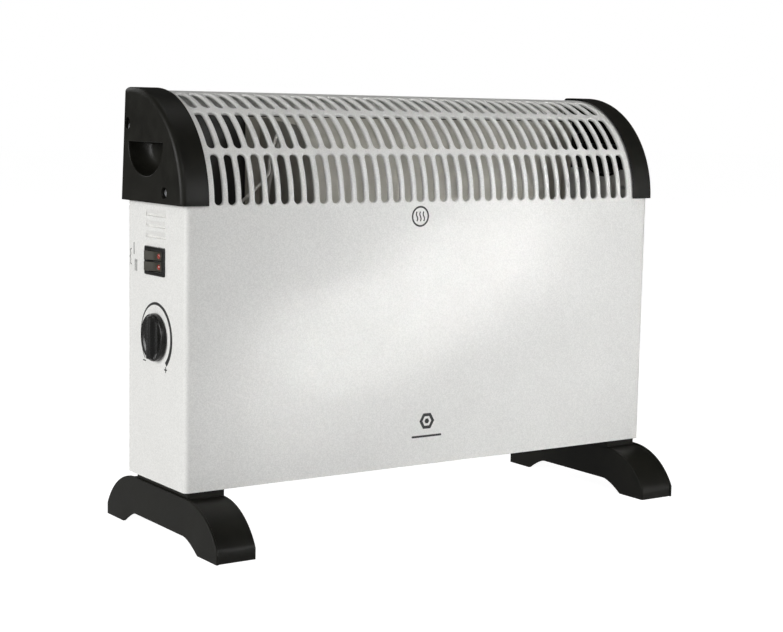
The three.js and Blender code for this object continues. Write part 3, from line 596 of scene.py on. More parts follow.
@dataclass(frozen=True)
class Finish:
    """A finish: a colour that clouds drift to another, uneven gloss, and a fine relief.

    Each one carries a material slot's name.
    """

    name: str
    slot: str
    colour: Colour
    drift: Colour
    gloss: tuple[float, float] = (0.4, 0.5)
    metal: float = 0.0
    grain: float = 1.0
    depth: float = 0.02
    clouds: float = 30.0
    stretch: tuple[float, float, float] = (1, 1, 1)
    specular: float = 0.5
    coat: float = 0.0

    def material(self) -> bpy.types.Material:
        """The finish as a material, made once.

        Returns:
            The material.
        """
        known = bpy.data.materials.get(self.name)
        return known or self.build()

    def build(self) -> bpy.types.Material:
        """Lays out the nodes that every finish shares.

        Returns:
            The new material.
        """
        graph = Graph(self.name)
        shader = graph.shader
        shader.inputs["Metallic"].default_value = self.metal
        shader.inputs["Specular IOR Level"].default_value = self.specular
        shader.inputs["Coat Weight"].default_value = self.coat
        cloud = graph.noise(self.clouds, 4)
        fine = graph.noise(self.grain, 2, self.stretch)
        tint = graph.blend(graph.spread(cloud, 0, 1), (*self.colour, 1), (*self.drift, 1))
        graph.link(self.pattern(graph, tint), "Base Color")
        graph.link(graph.spread(graph.math("ADD", graph.math("MULTIPLY", cloud, 0.5),
                                           graph.math("MULTIPLY", fine, 0.5)), *self.gloss),
                   "Roughness")
        graph.relief(self.height(graph, fine), self.depth)
        return graph.material

    def pattern(self, graph: Graph, tint: bpy.types.NodeSocket) -> bpy.types.NodeSocket:
        """The colour, for finishes with a pattern of their own to change."""
        return tint

    def height(self, graph: Graph, fine: bpy.types.NodeSocket) -> bpy.types.NodeSocket:
        """The relief, for finishes with a shape of their own to add."""
        return fine


@dataclass(frozen=True)
class PowderCoat(Finish):
    """White powder coat: orange peel on the walls that fades on the rolled top, with fine specks."""

    smooth_from: float = CASE.spring
    mottle: float = 0.3
    mottled: Colour = (0.45, 0.45, 0.43)
    speck: float = 0.2
    specked: Colour = (0.42, 0.42, 0.41)

    def height(self, graph: Graph, fine: bpy.types.NodeSocket) -> bpy.types.NodeSocket:
        """Orange peel, 1 below the rolled top and a quarter of that above it."""
        up = graph.node("ShaderNodeSeparateXYZ", {0: graph.place}).outputs[2]
        share = graph.spread(up, 1.0, 0.25, self.smooth_from * MM, (self.smooth_from + 6) * MM)
        broad = graph.noise(self.grain * 3, 1)
        both = graph.math("ADD", fine, graph.math("MULTIPLY", broad, 0.6))
        return graph.math("MULTIPLY", both, share)

    def pattern(self, graph: Graph, tint: bpy.types.NodeSocket) -> bpy.types.NodeSocket:
        """A faint mottle of lighter and darker grains, and sparse darker specks."""
        mottle = graph.spread(graph.noise(self.grain * 0.7, 2), 0, self.mottle, 0.35, 0.65)
        tint = graph.blend(mottle, tint, (*self.mottled, 1))
        speck = graph.spread(graph.noise(self.grain * 0.8, 2), 0, self.speck, 0.58, 0.8)
        return graph.blend(speck, tint, (*self.specked, 1))


@dataclass(frozen=True)
class ShadeBackedCoat(PowderCoat):
    """Powder coat outside, and painted shade on the side that faces in: near-black, standing for the
    unlit inside of the casing seen through the slots.
    """

    inside: float = CASE.rear_plate - 0.4
    # painted shade: the inner face's near-black colour stands for the shade inside the casing
    painted_shade: Colour = (0.035, 0.034, 0.03)

    def pattern(self, graph: Graph, tint: bpy.types.NodeSocket) -> bpy.types.NodeSocket:
        """The coat behind the plate's middle plane, and the near-black painted shade before it."""
        back = graph.node("ShaderNodeSeparateXYZ", {0: graph.place}).outputs[1]
        share = graph.spread(back, 0, 1, (self.inside - 0.1) * MM, (self.inside + 0.1) * MM)
        coat = super().pattern(graph, tint)
        return graph.blend(share, (*self.painted_shade, 1), coat)


@dataclass(frozen=True)
class Laminated(Finish):
    """Stacked steel sheets: fine bands across Z."""

    band: float = 1.0

    def height(self, graph: Graph, fine: bpy.types.NodeSocket) -> bpy.types.NodeSocket:
        """A sine wave up Z, one for each sheet, with a little of the fine noise."""
        up = graph.node("ShaderNodeSeparateXYZ", {0: graph.place}).outputs[2]
        wave = graph.math("SINE", graph.math("MULTIPLY", up, TAU / (self.band * MM)))
        return graph.math("ADD", graph.math("MULTIPLY", wave, 0.5),
                          graph.math("MULTIPLY", fine, 0.3))


@dataclass(frozen=True)
class Flecked(Finish):
    """Flakes pressed into a sheet: sharp-edged cells of a second colour."""

    fleck: Colour = (0.6, 0.52, 0.36)

    def pattern(self, graph: Graph, tint: bpy.types.NodeSocket) -> bpy.types.NodeSocket:
        """Cells picked out by their own random brightness."""
        cells = graph.node("ShaderNodeTexVoronoi", {"Vector": graph.place, "Scale": 350.0})
        share = graph.spread(cells.outputs["Color"], 0, 0.7, 0.4, 0.8)
        return graph.blend(share, tint, (*self.fleck, 1))


@dataclass(frozen=True)
class LampLens(Finish):
    """Tinted lens that lets light in and glows a little."""

    clear: float = 0.25
    glow: Colour = (0.4, 0.03, 0.015)
    glow_strength: float = 0.12

    def build(self) -> bpy.types.Material:
        """Adds transmission and a soft glow to the shared nodes."""
        material = super().build()
        shader = material.node_tree.nodes["Principled BSDF"]
        shader.inputs["Transmission Weight"].default_value = self.clear
        shader.inputs["Emission Color"].default_value = (*self.glow, 1)
        shader.inputs["Emission Strength"].default_value = self.glow_strength
        return material


PAINT = PowderCoat("white_powder_coat", "white_paint", (0.8, 0.797, 0.775), (0.77, 0.767, 0.745),
                   (0.4, 0.52), grain=1.5, depth=0.13, clouds=45.0)
# the rear cover's inner face carries painted shade, near-black, for the unlit interior seen through the
# slots
SHADE_BACKED_PAINT = ShadeBackedCoat("rear_cover_coat", "white_paint", PAINT.colour, PAINT.drift, PAINT.gloss,
                    grain=PAINT.grain, depth=PAINT.depth, clouds=PAINT.clouds)
TRIM = Finish("moulded_black_abs", "black_plastic", (0.006, 0.0058, 0.0042),
              (0.01, 0.0097, 0.0072), (0.36, 0.5), grain=0.45, depth=0.02, clouds=14.0,
              specular=0.18)
GLOSS = Finish("polished_black_abs", "gloss_black", (0.006, 0.0059, 0.0052),
               (0.009, 0.0088, 0.0078), (0.17, 0.27), grain=2.5, depth=0.008, clouds=9.0)
SATIN = Finish("satin_dark_abs", "gloss_black", (0.034, 0.0315, 0.0225), (0.042, 0.039, 0.029),
               (0.3, 0.4), grain=1.2, depth=0.01, clouds=9.0)
DIAL = Finish("satin_black_abs", "gloss_black", (0.004, 0.0039, 0.0034), (0.006, 0.0058, 0.005),
              (0.24, 0.3), grain=2.5, depth=0.008, clouds=9.0, specular=0.4)
LENS = LampLens("red_lamp_lens", "red_lens", (0.33, 0.035, 0.02), (0.25, 0.025, 0.015),
                (0.08, 0.2), grain=0.6, depth=0.03, clouds=1.5, coat=0.5)
ZINC = Finish("zinc_plate", "zinc_steel", (0.62, 0.63, 0.64), (0.52, 0.53, 0.55), (0.22, 0.38),
              1.0, 0.6, 0.01, 9.0)
ALUMINISED = Finish("aluminised_sheet", "aluminised_steel", (0.56, 0.545, 0.485),
                    (0.49, 0.475, 0.42), (0.5, 0.62), 0.3, 0.8, 0.015, 25.0, (1, 1, 9))
MICA = Flecked("mica_board", "mica_sheet", (0.34, 0.28, 0.18), (0.42, 0.35, 0.24), (0.5, 0.7),
               grain=0.9, depth=0.04, clouds=8.0)
HEATING = Finish("oxidised_resistance_wire", "heating_wire", (0.2, 0.18, 0.165), (0.3, 0.26, 0.23),
                 (0.35, 0.5), 0.85, 0.4, 0.01, 6.0)
LAMINATION = Laminated("laminated_motor_steel", "motor_steel", (0.17, 0.18, 0.19),
                       (0.25, 0.25, 0.25), (0.35, 0.5), 0.9, 0.7, 0.06, 12.0)
COPPER = Laminated("enamelled_copper_wire", "copper_winding", (0.5, 0.17, 0.05),
                   (0.62, 0.24, 0.08), (0.22, 0.35), 0.7, 0.5, 0.12, 5.0, band=0.8)
BAKELITE = Finish("brown_phenolic", "bakelite", (0.035, 0.02, 0.013), (0.05, 0.03, 0.02),
                  (0.3, 0.45), grain=0.5, depth=0.02, clouds=7.0)
NYLON = Finish("natural_nylon", "white_nylon", (0.72, 0.69, 0.6), (0.66, 0.62, 0.52), (0.4, 0.55),
               grain=0.7, depth=0.015, clouds=12.0)
INK = Finish("black_screen_ink", "black_plastic", (0.012, 0.012, 0.012), (0.02, 0.02, 0.02),
             (0.45, 0.6), grain=0.5, depth=0.006, clouds=4.0)


def sleeve(name: str, colour: Colour) -> Finish:
    """A wire's soft insulation in a colour."""
    darker = tuple(c * 0.8 for c in colour)
    return Finish(f"{name}_insulation", f"{name}_sleeve", colour, darker, (0.4, 0.55), grain=0.5,
                  depth=0.015, clouds=9.0)


SLEEVES = {"live_lead": sleeve("brown", (0.16, 0.07, 0.03)),
           "switch_lead": sleeve("black", (0.02, 0.02, 0.02)),
           "element_lead": sleeve("red", (0.5, 0.05, 0.03)),
           "neutral_lead": sleeve("blue", (0.03, 0.08, 0.36)),
           "fan_lead": sleeve("white", (0.75, 0.73, 0.68))}


def dress(name: str, skin: Skin, finish: Finish, body: Body = Body.HEATER,
          stands_for: Sequence[str] = (), wall: float = 0.0, crease: float = 32.0) -> None:
    """Makes a skin an object with its finish and body, and hides the CAD nodes it stands for.

    Args:
        name: the piece's name.
        skin: its surface, in the casing's frame.
        finish: its finish.
        body: the CAD body it rides on.
        stands_for: the CAD nodes it replaces.
        wall: the thickness given inward to an open skin, in millimetres.
        crease: folds sharper than this many degrees stay sharp.
    """
    points, faces = skin.welded()
    mesh = bpy.data.meshes.new(name)
    mesh.from_pydata(((points + (SHIFT, 0, 0)) * MM).tolist(), [], faces)
    mesh.polygons.foreach_set("use_smooth", np.ones(len(mesh.polygons), bool))
    mesh.set_sharp_from_angle(angle=math.radians(crease))
    mesh.materials.append(finish.material())
    obj = bpy.data.objects.new(name, mesh)
    bpy.context.scene.collection.objects.link(obj)
    if wall:
        solid = obj.modifiers.new("wall", "SOLIDIFY")
        solid.thickness, solid.offset, solid.use_even_offset = wall * MM, -1, True
        solid.thickness_clamp = 2.0
    even = obj.modifiers.new("even_shading", "WEIGHTED_NORMAL")
    even.keep_sharp, even.weight = True, 50
    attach(obj, body.value)
    if stands_for:
        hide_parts(*stands_for)
    LOG.info("%s: %d points, %d faces, %s", name, len(points), len(faces), finish.name)


# ------------------------------------------------------------------ casing


@dataclass
class Shell:
    """The folded front, sides and slotted rounded top, with pressed louvres on the left side."""

    columns: int = 36
    pitch: float = 13.0
    slot_half: float = 4.0
    rows: tuple[tuple[float, float], ...] = ((0.2, 26.8), (30.1, 54.6), (58.5, 78.0))
    curl: float = 1.5
    lip: float = 2.7
    tile_across: int = 10
    tile_along: int = 10
    below: float = 4.0
    louvre_tops: tuple[float, ...] = (288.5, 279.2, 269.9)
    louvre_half: float = 18.85
    louvre_depth: float = 3.0
    louvre_drop: float = 6.2
    louvre_lip: float = 0.35
    louvre_end: float = 3.5
    switch_hole: tuple[float, float, float, float] = (-12.3, 18.9, 234.8, 253.2)
    side_top: float = 321.5
    hem: float = 0.9
    notch: tuple[float, float, float, float] = (13.5, 343.0, 36.8, 29.8)

    def roll(self, x: Array, u: Array, depth: Array) -> Array:
        """Flat sheet to rolled top: straight below u = 0, an arc of the curve's radius, then flat.

        Args:
            x: place along the width.
            u: place along the sheet, from the start of the curve.
            depth: distance under the outer surface.

        Returns:
            The points.
        """
        arc_end = CASE.curve * math.pi / 2
        angle = np.clip(u, 0, arc_end) / CASE.curve
        radius = CASE.curve - depth
        y = CASE.centre - radius * np.cos(angle) + np.maximum(u - arc_end, 0)
        z = CASE.spring + radius * np.sin(angle) + np.minimum(u, 0)
        return np.stack(np.broadcast_arrays(x, y, z), axis=-1)

    def borders(self) -> Array:
        """Where the rows of slots part, along the sheet."""
        along = np.radians(np.array(self.rows)) * CASE.curve
        middles = (along[:-1, 1] + along[1:, 0]) / 2
        return np.concatenate([[-self.below], middles, [along[-1, 1] + 5]])

    def walk(self, x0: Array, x1: Array, u0: Array, u1: Array, round_by: Array) -> Array:
        """Points round a slot-like outline: half circles of radius round_by at both ends.

        With round_by 0 the half circles become the short sides of a rectangle.

        Args:
            x0: left side.
            x1: right side.
            u0: lower end of the straight sides.
            u1: upper end of the straight sides.
            round_by: how far the ends bulge.

        Returns:
            Points (x, u) along the outline, anticlockwise.
        """
        t = np.linspace(0, 1, self.tile_across + 1)[:-1]
        s = np.linspace(0, 1, self.tile_along + 1)[:-1]
        middle, half = (x0 + x1) / 2, (x1 - x0) / 2
        bulge = round_by > 0
        cos = -np.cos(math.pi * t) if bulge else 2 * t - 1
        sin = np.sin(math.pi * t) * round_by
        one = np.ones_like
        x = np.concatenate([middle + half * cos, x1 * one(s), middle - half * cos, x0 * one(s)])
        u = np.concatenate([u0 - sin, u0 + (u1 - u0) * s, u1 + sin, u1 + (u0 - u1) * s])
        return np.stack([x, u], axis=-1)

    def slots(self) -> Skin:
        """Tiles of sheet, one for each slot: from the tile's border to a lip curled inward.

        Round the curl the edge at angle a lies c (1 - sin a) outside the slot and c (1 - cos a)
        under the surface.

        Returns:
            The slotted sheet.
        """
        turn = np.linspace(0, math.pi / 2, 5)
        spread = np.concatenate([self.curl * (1 - np.sin(turn)), [0.0]])
        depth = np.concatenate([self.curl * (1 - np.cos(turn)), [self.lip]])
        borders, half = self.borders(), self.pitch / 2
        skin = Skin()
        places = (np.arange(self.columns) - (self.columns - 1) / 2) * self.pitch
        for row, (start, end) in enumerate(self.rows):
            low, high = (math.radians(a) * CASE.curve for a in (start, end))
            rings = [self.walk(-half, half, borders[row], borders[row + 1], 0)]
            rings += [self.walk(-self.slot_half - d, self.slot_half + d, low + self.slot_half,
                                high - self.slot_half, self.slot_half + d) for d in spread]
            flat = np.stack(rings)
            x = flat[None, ..., 0] + places[:, None, None]
            u = np.broadcast_to(flat[None, ..., 1], x.shape)
            down = np.concatenate([[0.0], depth])[None, :, None]
            skin.grid(self.roll(x, u, np.broadcast_to(down, x.shape)), ring=True)
        return skin

    def tile_lines(self) -> Array:
        """Every place along the sheet where the end tiles' side borders have a point."""
        borders = self.borders()
        parts = [np.linspace(a, b, self.tile_along + 1) for a, b in zip(borders, borders[1:])]
        return np.unique(np.round(np.concatenate(parts), 9))

    def top_edges(self) -> Skin:
        """The plain strips under the caps, and the sheet from the last slots to the rear edge."""
        reach = self.columns * self.pitch / 2
        lines = self.tile_lines()
        arc_end = CASE.curve * math.pi / 2
        after = np.concatenate([np.linspace(lines[-1], arc_end, 5),
                                [arc_end + CASE.flange - CASE.centre]])
        skin = Skin()
        for side in (-1, 1):
            across = np.array([reach, CASE.side - CASE.bend]) * side
            x, u = np.meshgrid(across, np.concatenate([lines, after[1:]]))
            skin.grid(self.roll(x, u, 0 * x), flip=side < 0)
        across = np.linspace(-reach, reach, self.columns * self.tile_across + 1)
        x, u = np.meshgrid(across, after[:2])
        skin.grid(self.roll(x, u, 0 * x))
        x, u = np.meshgrid(np.array([-reach, reach]), after[1:])
        skin.grid(self.roll(x, u, 0 * x))
        drop = np.array([[CASE.flange, CASE.top], [CASE.flange, CASE.top - 21]])
        edge = np.stack([np.stack([np.full(2, x), *drop.T], axis=1) for x in (-reach, reach)], 1)
        return skin.grid(edge)

    def louvre(self, x: float, top: float) -> tuple[Skin, Array]:
        """One louvre pressed inward: deepest over its lower edge, sloping out to the wall above.

        Depth is D (0.35 ease(t) + 0.65 t) sqrt(1 - (1 - e)^2): t grows from the upper edge to the
        lip above the lower edge, and e from the ends inward.

        Args:
            x: the wall's place.
            top: Z of the upper edge.

        Returns:
            The pressed patch, and the outline in Y and Z that it fills.
        """
        reach, drop, lip = self.louvre_half, self.louvre_drop, self.louvre_lip
        ends = np.concatenate([[-reach - 0.8], np.linspace(-reach, -reach + 4, 9),
                               np.linspace(-reach + 6, reach - 6, 9),
                               np.linspace(reach - 4, reach, 9), [reach + 0.8]])
        rises = np.concatenate([[-0.6, 0.0, lip], np.linspace(0.9, drop, 10), [drop + 0.8]])
        falls = drop - rises[::-1]
        s, w = np.meshgrid(ends, falls)
        closeness = np.clip((reach - np.abs(s)) / self.louvre_end, 0, 1)
        rise = np.clip(w / (drop - lip), 0, 1)
        slope = ease(rise) * 0.35 + 0.65 * rise
        depth = self.louvre_depth * slope * np.sqrt(1 - (1 - closeness) ** 2)
        depth *= w < drop - 0.1
        points = np.stack([x + depth, SWITCH_AT[0] + s, top - w], axis=-1)
        skin = Skin().grid(points)
        border = np.concatenate([points[-1, :, 1:], points[::-1, -1, 1:][1:],
                                 points[0, ::-1, 1:][1:], points[:, 0, 1:][1:-1]])
        return skin, border

    def side(self, left: bool) -> Skin:
        """A side wall from its fold to its rear hem, with the openings that end has.

        Args:
            left: whether it is the controls' end.

        Returns:
            The wall.
        """
        x = -CASE.side if left else CASE.side
        start = CASE.front + CASE.bend
        back = CASE.back - self.hem
        y = np.linspace(back - 1, start + 1, 24)
        notch_y, notch_z, across, deep = self.notch
        away = (y - notch_y) / across
        notch = notch_z - deep * np.sqrt(np.clip(1 - away ** 2, 0, 1))
        crest = np.stack([y, np.where(np.abs(away) < 1, np.minimum(self.side_top, notch),
                                      self.side_top)], axis=1)
        outline = np.concatenate([
            [[start, CASE.bottom], [back, CASE.bottom], [back, self.side_top]], crest,
            [[start, self.side_top], [start, CASE.spring]]])
        skins, holes = [Skin()], []
        if left:
            for top in self.louvre_tops:
                patch, border = self.louvre(x, top)
                skins.append(patch)
                holes.append(border)
            y0, y1, z0, z1 = self.switch_hole
            holes += [rounded_box(y0, y1, z0, z1, 0.8, 2), circle(*DIAL_AT, 4.5, 20)]
        skins[0].plate([outline, *holes], on_x(x), flip=left)
        bend = arc(CASE.side - self.hem, back, self.hem, 0, 90, 3)
        hem = np.concatenate([bend, arc(CASE.side - self.hem - 0.5, back, self.hem, 90, 180, 3)[1:],
                              [[CASE.side - 2.3, CASE.flange], [CASE.side - 14, CASE.flange]]])
        return joined(*skins, upright(hem, (CASE.bottom, self.side_top), left))

    def front(self) -> Skin:
        """The flat front and the vertical folds that lead to the sides."""
        reach = self.columns * self.pitch / 2
        edge = CASE.side - CASE.bend
        rim = CASE.spring - self.below
        crown = np.linspace(reach, -reach, self.columns * self.tile_across + 1)
        outline = np.concatenate([
            [[-edge, CASE.bottom], [edge, CASE.bottom], [edge, rim]],
            np.stack([crown, np.full(len(crown), rim)], axis=1), [[-edge, rim]]])
        fold = arc(edge, CASE.front + CASE.bend, CASE.bend, -90, 0, 8)
        folds = [upright(fold, (CASE.bottom, rim, CASE.spring), left) for left in (True, False)]
        return joined(Skin().plate([outline], on_y(CASE.front)), *folds)

    def build(self) -> None:
        """Makes the shell as one sheet of steel."""
        skin = joined(self.slots(), self.top_edges(), self.front(), self.side(True),
                      self.side(False))
        dress("casing_shell", skin, PAINT, stands_for=["front_shell"], wall=0.95)


@dataclass
class Covers:
    """The rear cover and the base tray."""

    vents: int = 15
    vent_pitch: float = 22.0
    vent_rise: tuple[float, float] = (24.0, 64.0)
    tray_pitch: float = 19.5
    chamber: float = 50.5
    floor: float = TRAY_TOP
    gland: tuple[float, float] = (-215.0, 76.0)

    def rear(self) -> None:
        """The rear cover: a plate with rounded vent slots and the cord gland's hole."""
        edge, top = CASE.side - 2.4, CASE.top - 1.4
        outline = rounded_box(-edge, edge, self.floor + 0.3, top, 3)
        low, high = (self.floor + rise for rise in self.vent_rise)
        holes = [stadium(self.chamber + (i - (self.vents - 1) / 2) * self.vent_pitch, low, high, 4)
                 for i in range(self.vents)]
        holes.append(circle(*self.gland, 6.6, 24))
        plate = slab(outline, "y", CASE.rear_plate - 1, CASE.rear_plate, 0.3, holes, 2)
        tabs = [slab(rounded_box(45, CASE.rear_plate - 1.05, CASE.top - 36, CASE.top - 22, 2), "x",
                     *sorted((sign * (edge - 0.1), sign * (edge - 1.1)))) for sign in (-1, 1)]
        dress("rear_cover", joined(plate, *tabs), SHADE_BACKED_PAINT, stands_for=["rear_panel"])

    def base(self) -> None:
        """The base tray: a plate with long air slots between two turned-up edges."""
        edge = CASE.side - 1.3
        y0, y1 = CASE.front + 1.3, CASE.flange - 1.3
        outline = rounded_box(-edge, edge, y0, y1, 4.5)
        pitch = self.tray_pitch
        count = int((2 * (CASE.side - 40.6) - 26) // pitch)
        holes = [stadium((i - (count - 1) / 2) * pitch, y0 + 14, y1 - 14, 4) for i in range(count)]
        plate = slab(outline, "z", CASE.bottom + 0.3, self.floor, 0.3, holes, 2)
        lips = [slab(rounded_box(-edge + 4.7, edge - 4.7, self.floor - 0.5, self.floor + 10, 2),
                     "y", y, y + 1, 0.2) for y in (y0, y1 - 1)]
        dress("base_tray", joined(plate, *lips), ZINC, stands_for=["base_plate"])

    def gland_piece(self) -> None:
        """The cord gland: a flanged bush with an empty, rounded bore."""
        profile = np.array([[4.1, -7], [4.1, 1.2], [4.6, 2.0], [5.4, 2.3], [7.2, 2.3], [8.2, 1.6],
                            [8.8, 0.4], [8.6, 0.3], [6.2, 0.3], [6.2, -1.3], [7.8, -1.5],
                            [7.4, -7], [4.1, -7]])
        skin = lathe(profile, "y", (self.gland[0], CASE.rear_plate, self.gland[1]), 32)
        dress("cord_bush", skin, TRIM, stands_for=["cord_gland"])

    def build(self) -> None:
        """Makes the rear cover, the base tray and the gland."""
        self.rear()
        self.base()
        self.gland_piece()


# ------------------------------------------------------------------ mouldings


@dataclass
class EndCap:
    """A moulded end cap: a band over the top, a rounded rim, a side with a finger recess."""

    outer: float = 264.0
    inner: float = 238.0
    radius: float = CASE.curve + 2.3
    rim: float = 5.0
    inner_rim: float = 0.6
    rear_top: float = 0.5
    rear_bottom: float = 8.0
    recess: tuple[float, float, float, float] = (13.5, 343.0, 33.0, 26.0)
    recess_top: float = 346.0
    recess_depth: float = 18.6
    recess_edge: float = 0.9
    recess_taper: tuple[float, float] = (11.0, 2.5)
    wells: tuple[tuple[float, float], ...] = ((-22.0, 304.0), (48.7, CASE.top - 29.0))
    well_radius: float = 5.0
    well_floor: float = 260.3
    wall: float = 1.25

    def path(self, inset: float) -> Array:
        """The cap's edge from front bottom to rear bottom, moved inward.

        Args:
            inset: how far inward.

        Returns:
            (n, 2) points in Y and Z.
        """
        r = self.radius - inset
        curve = arc(CASE.centre, CASE.spring, r, 180, 90, 36)
        low, top = CASE.spring, CASE.spring + r
        ratio = (top - low) / self.radius
        rear_low = CASE.back + self.rear_bottom - inset
        rear_high = CASE.back + self.rear_bottom + (self.rear_top - self.rear_bottom) * ratio - inset
        corner = max(4.0 - inset, 0.6)
        turn = arc(rear_high - corner, top - corner, corner, 90, 8, 6)
        return np.concatenate([curve, turn, [[rear_low, low]]])

    def band(self) -> Skin:
        """Rows of the edge path across X: a small inner rim, the band, and the rounded outer rim."""
        small = np.linspace(0, math.pi / 2, 4)
        big = np.linspace(0, math.pi / 2, 9)
        thin = self.inner_rim
        rows = [(self.inner + thin * (1 - math.cos(a)), thin * (1 - math.sin(a))) for a in small]
        rows += [(self.outer - self.rim + self.rim * math.sin(a), self.rim * (1 - math.cos(a)))
                 for a in big]
        paths = [on_x(x)(self.path(inset)) for x, inset in rows]
        return Skin().grid(np.stack(paths), flip=True)

    def recess_loop(self, inset: float, top_inset: float) -> Array:
        """The finger recess's outline, a half ellipse under a straight top, moved inward."""
        y, z, a, b = self.recess
        t = np.radians(np.linspace(180, 360, 29))
        bowl = np.stack([y + (a - inset) * np.cos(t), z + (b - inset) * np.sin(t)], axis=1)
        high = self.recess_top - top_inset
        across = np.linspace(y + a - inset, y - a + inset, 13)
        lid = np.stack([across, np.full(13, high)], axis=1)
        return np.concatenate([bowl, lid])

    def face(self) -> Skin:
        """The flat side with its finger recess and screw wells."""
        well_loops = [circle(y, z, self.well_radius + 0.4, 28) for y, z in self.wells]
        edge, (inward, down) = self.recess_edge, self.recess_taper
        skin = Skin().plate([self.path(self.rim)[::-1], self.recess_loop(-edge, -edge), *well_loops],
                            on_x(self.outer))
        turn = np.linspace(0, math.pi / 2, 5)
        steps = [(-edge * (1 - math.sin(a)), edge * (1 - math.cos(a))) for a in turn]
        bowl = np.linspace(0, math.pi / 2, 10)[1:]
        rings = [on_x(self.outer - d)(self.recess_loop(i, i)) for i, d in steps]
        rings += [on_x(self.outer - edge - (self.recess_depth - edge) * math.sin(a))(
            self.recess_loop(inward * (1 - math.cos(a)), down * (1 - math.cos(a)))) for a in bowl]
        skin.grid(np.stack(rings), ring=True)
        skin.plate([self.recess_loop(inward, down)], on_x(self.outer - self.recess_depth))
        depth = self.outer - self.well_floor
        for y, z in self.wells:
            profile = np.array([[0, -depth], [4.6, -depth], [5.0, -depth + 0.4], [5.0, -0.4],
                                [5.1, -0.15], [5.4, 0.0]])
            skin = joined(skin, lathe(profile, "x", (self.outer, y, z), 28))
        return skin

    def build(self, side: str) -> None:
        """Makes one cap.

        Args:
            side: left or right.
        """
        skin = joined(self.band(), self.face())
        if side == "left":
            skin = skin.mirrored()
        dress(f"{side}_cap", skin, TRIM, stands_for=[f"{side}_end_cap"], wall=self.wall)


@dataclass
class Foot:
    """A moulded foot: round-shouldered, arched beneath, with a raised lip along its outer side."""

    length: float = 213.0
    outer: float = 257.0
    width: float = 38.6
    top: float = 45.0
    flat: float = 50.0
    toe: float = 10.5
    heel: float = 72.0
    arch: float = 11.6
    arch_flat: float = 46.0
    lip: float = 1.2
    lip_width: float = 2.4
    edge: float = 0.9
    inner_edge: float = 1.6
    screws: tuple[float, float] = (-31.0, 31.0)
    ribs: tuple[float, ...] = (-44.0, 0.0, 44.0)
    seat: tuple[float, float] = (-50.5, 48.3)
    wall: float = 2.4

    def over(self, drop: float) -> Array:
        """The foot's upper edge from the rear sole to the front sole, moved inward."""
        toe, high = self.length / 2 - drop, self.top - drop
        run, fall = self.length / 2 - self.flat, self.top - self.toe
        radius = (run * run + fall * fall) / (2 * fall)
        sweep = math.asin(run / radius)
        a = np.linspace(0, sweep, 19)
        shoulder = np.stack([self.flat + (radius - drop) * np.sin(a),
                             self.top - radius + (radius - drop) * np.cos(a)], axis=1)
        shoulder[:, 0] = np.minimum(shoulder[:, 0], toe)
        end = np.array([[toe, self.toe * 0.5], [toe, 0.0]])
        level = np.stack([np.linspace(-self.flat, self.flat, 9)[1:], np.full(8, high)], axis=1)
        front = np.concatenate([shoulder, end])
        rear = (front * (-1, 1))[::-1]
        return np.concatenate([rear, level[:-1], front])

    def under(self) -> Array:
        """The arch beneath from the front sole's heel to the rear one's."""
        a = np.linspace(0, math.pi / 2, 9)
        rise = np.stack([self.heel - (self.heel - self.arch_flat) * np.sin(a),
                         self.arch * (1 - (1 - np.sin(a)) ** 1.6)], axis=1)
        return np.concatenate([rise, (rise * (-1, 1))[::-1]])

    def body(self) -> Skin:
        """The open-bottomed moulding: two sides joined by a top with the lip along one edge."""
        inner = self.outer - self.width
        lip_in = self.outer - self.lip_width
        turn = np.linspace(0, math.pi / 2, 5)
        edge, far_edge = self.edge, self.inner_edge
        rows = [(self.outer - edge * (1 - math.sin(a)), edge * (1 - math.cos(a)))
                for a in turn[::-1]]
        rows += [(lip_in + 0.5 - 0.5 * math.sin(a), 0.5 * (1 - math.cos(a))) for a in turn[1::2]]
        rows += [(lip_in, self.lip - 0.2), (lip_in - 0.3, self.lip)]
        rows += [(inner + far_edge * (1 - math.sin(a)), self.lip + far_edge * (1 - math.cos(a)))
                 for a in turn]
        paths = [on_x(x)(self.over(drop)) for x, drop in rows]
        skin = Skin().grid(np.stack(paths))
        for (_, drop), x, flip in ((rows[0], self.outer, False), (rows[-1], inner, True)):
            outline = np.concatenate([self.over(drop)[::-1], self.under()[::-1]])
            skin.plate([outline], on_x(x), flip=flip)
        return skin

    def build(self, side: str) -> None:
        """Makes one foot with its seat and screw sockets.

        Args:
            side: left or right.
        """
        inner = self.outer - self.width
        middle = self.outer - self.width / 2
        seat = slab(rounded_box(inner + 0.4, self.outer - 2.2, *self.seat, 2), "z", self.top - 3,
                    CASE.bottom - 0.05, 0.4)
        sockets = [slab(circle(middle, y, 6.0, 24), "z", 19.6, self.top - 2.5, 0.4,
                        [circle(middle, y, 2.3, 24)]) for y in self.screws]
        ribs = [slab(rounded_box(inner + 2, self.outer - 2, y - 0.9, y + 0.9, 0.4, 2), "z", 14.0,
                     self.top - 2.5, 0.2) for y in self.ribs]
        body, base = self.body(), joined(seat, *sockets, *ribs)
        if side == "left":
            body, base = body.mirrored(), base.mirrored()
        dress(f"{side}_foot_moulding", body, TRIM, stands_for=[f"{side}_foot"], wall=self.wall)
        dress(f"{side}_foot_seat", base, TRIM)


# ------------------------------------------------------------------ fasteners


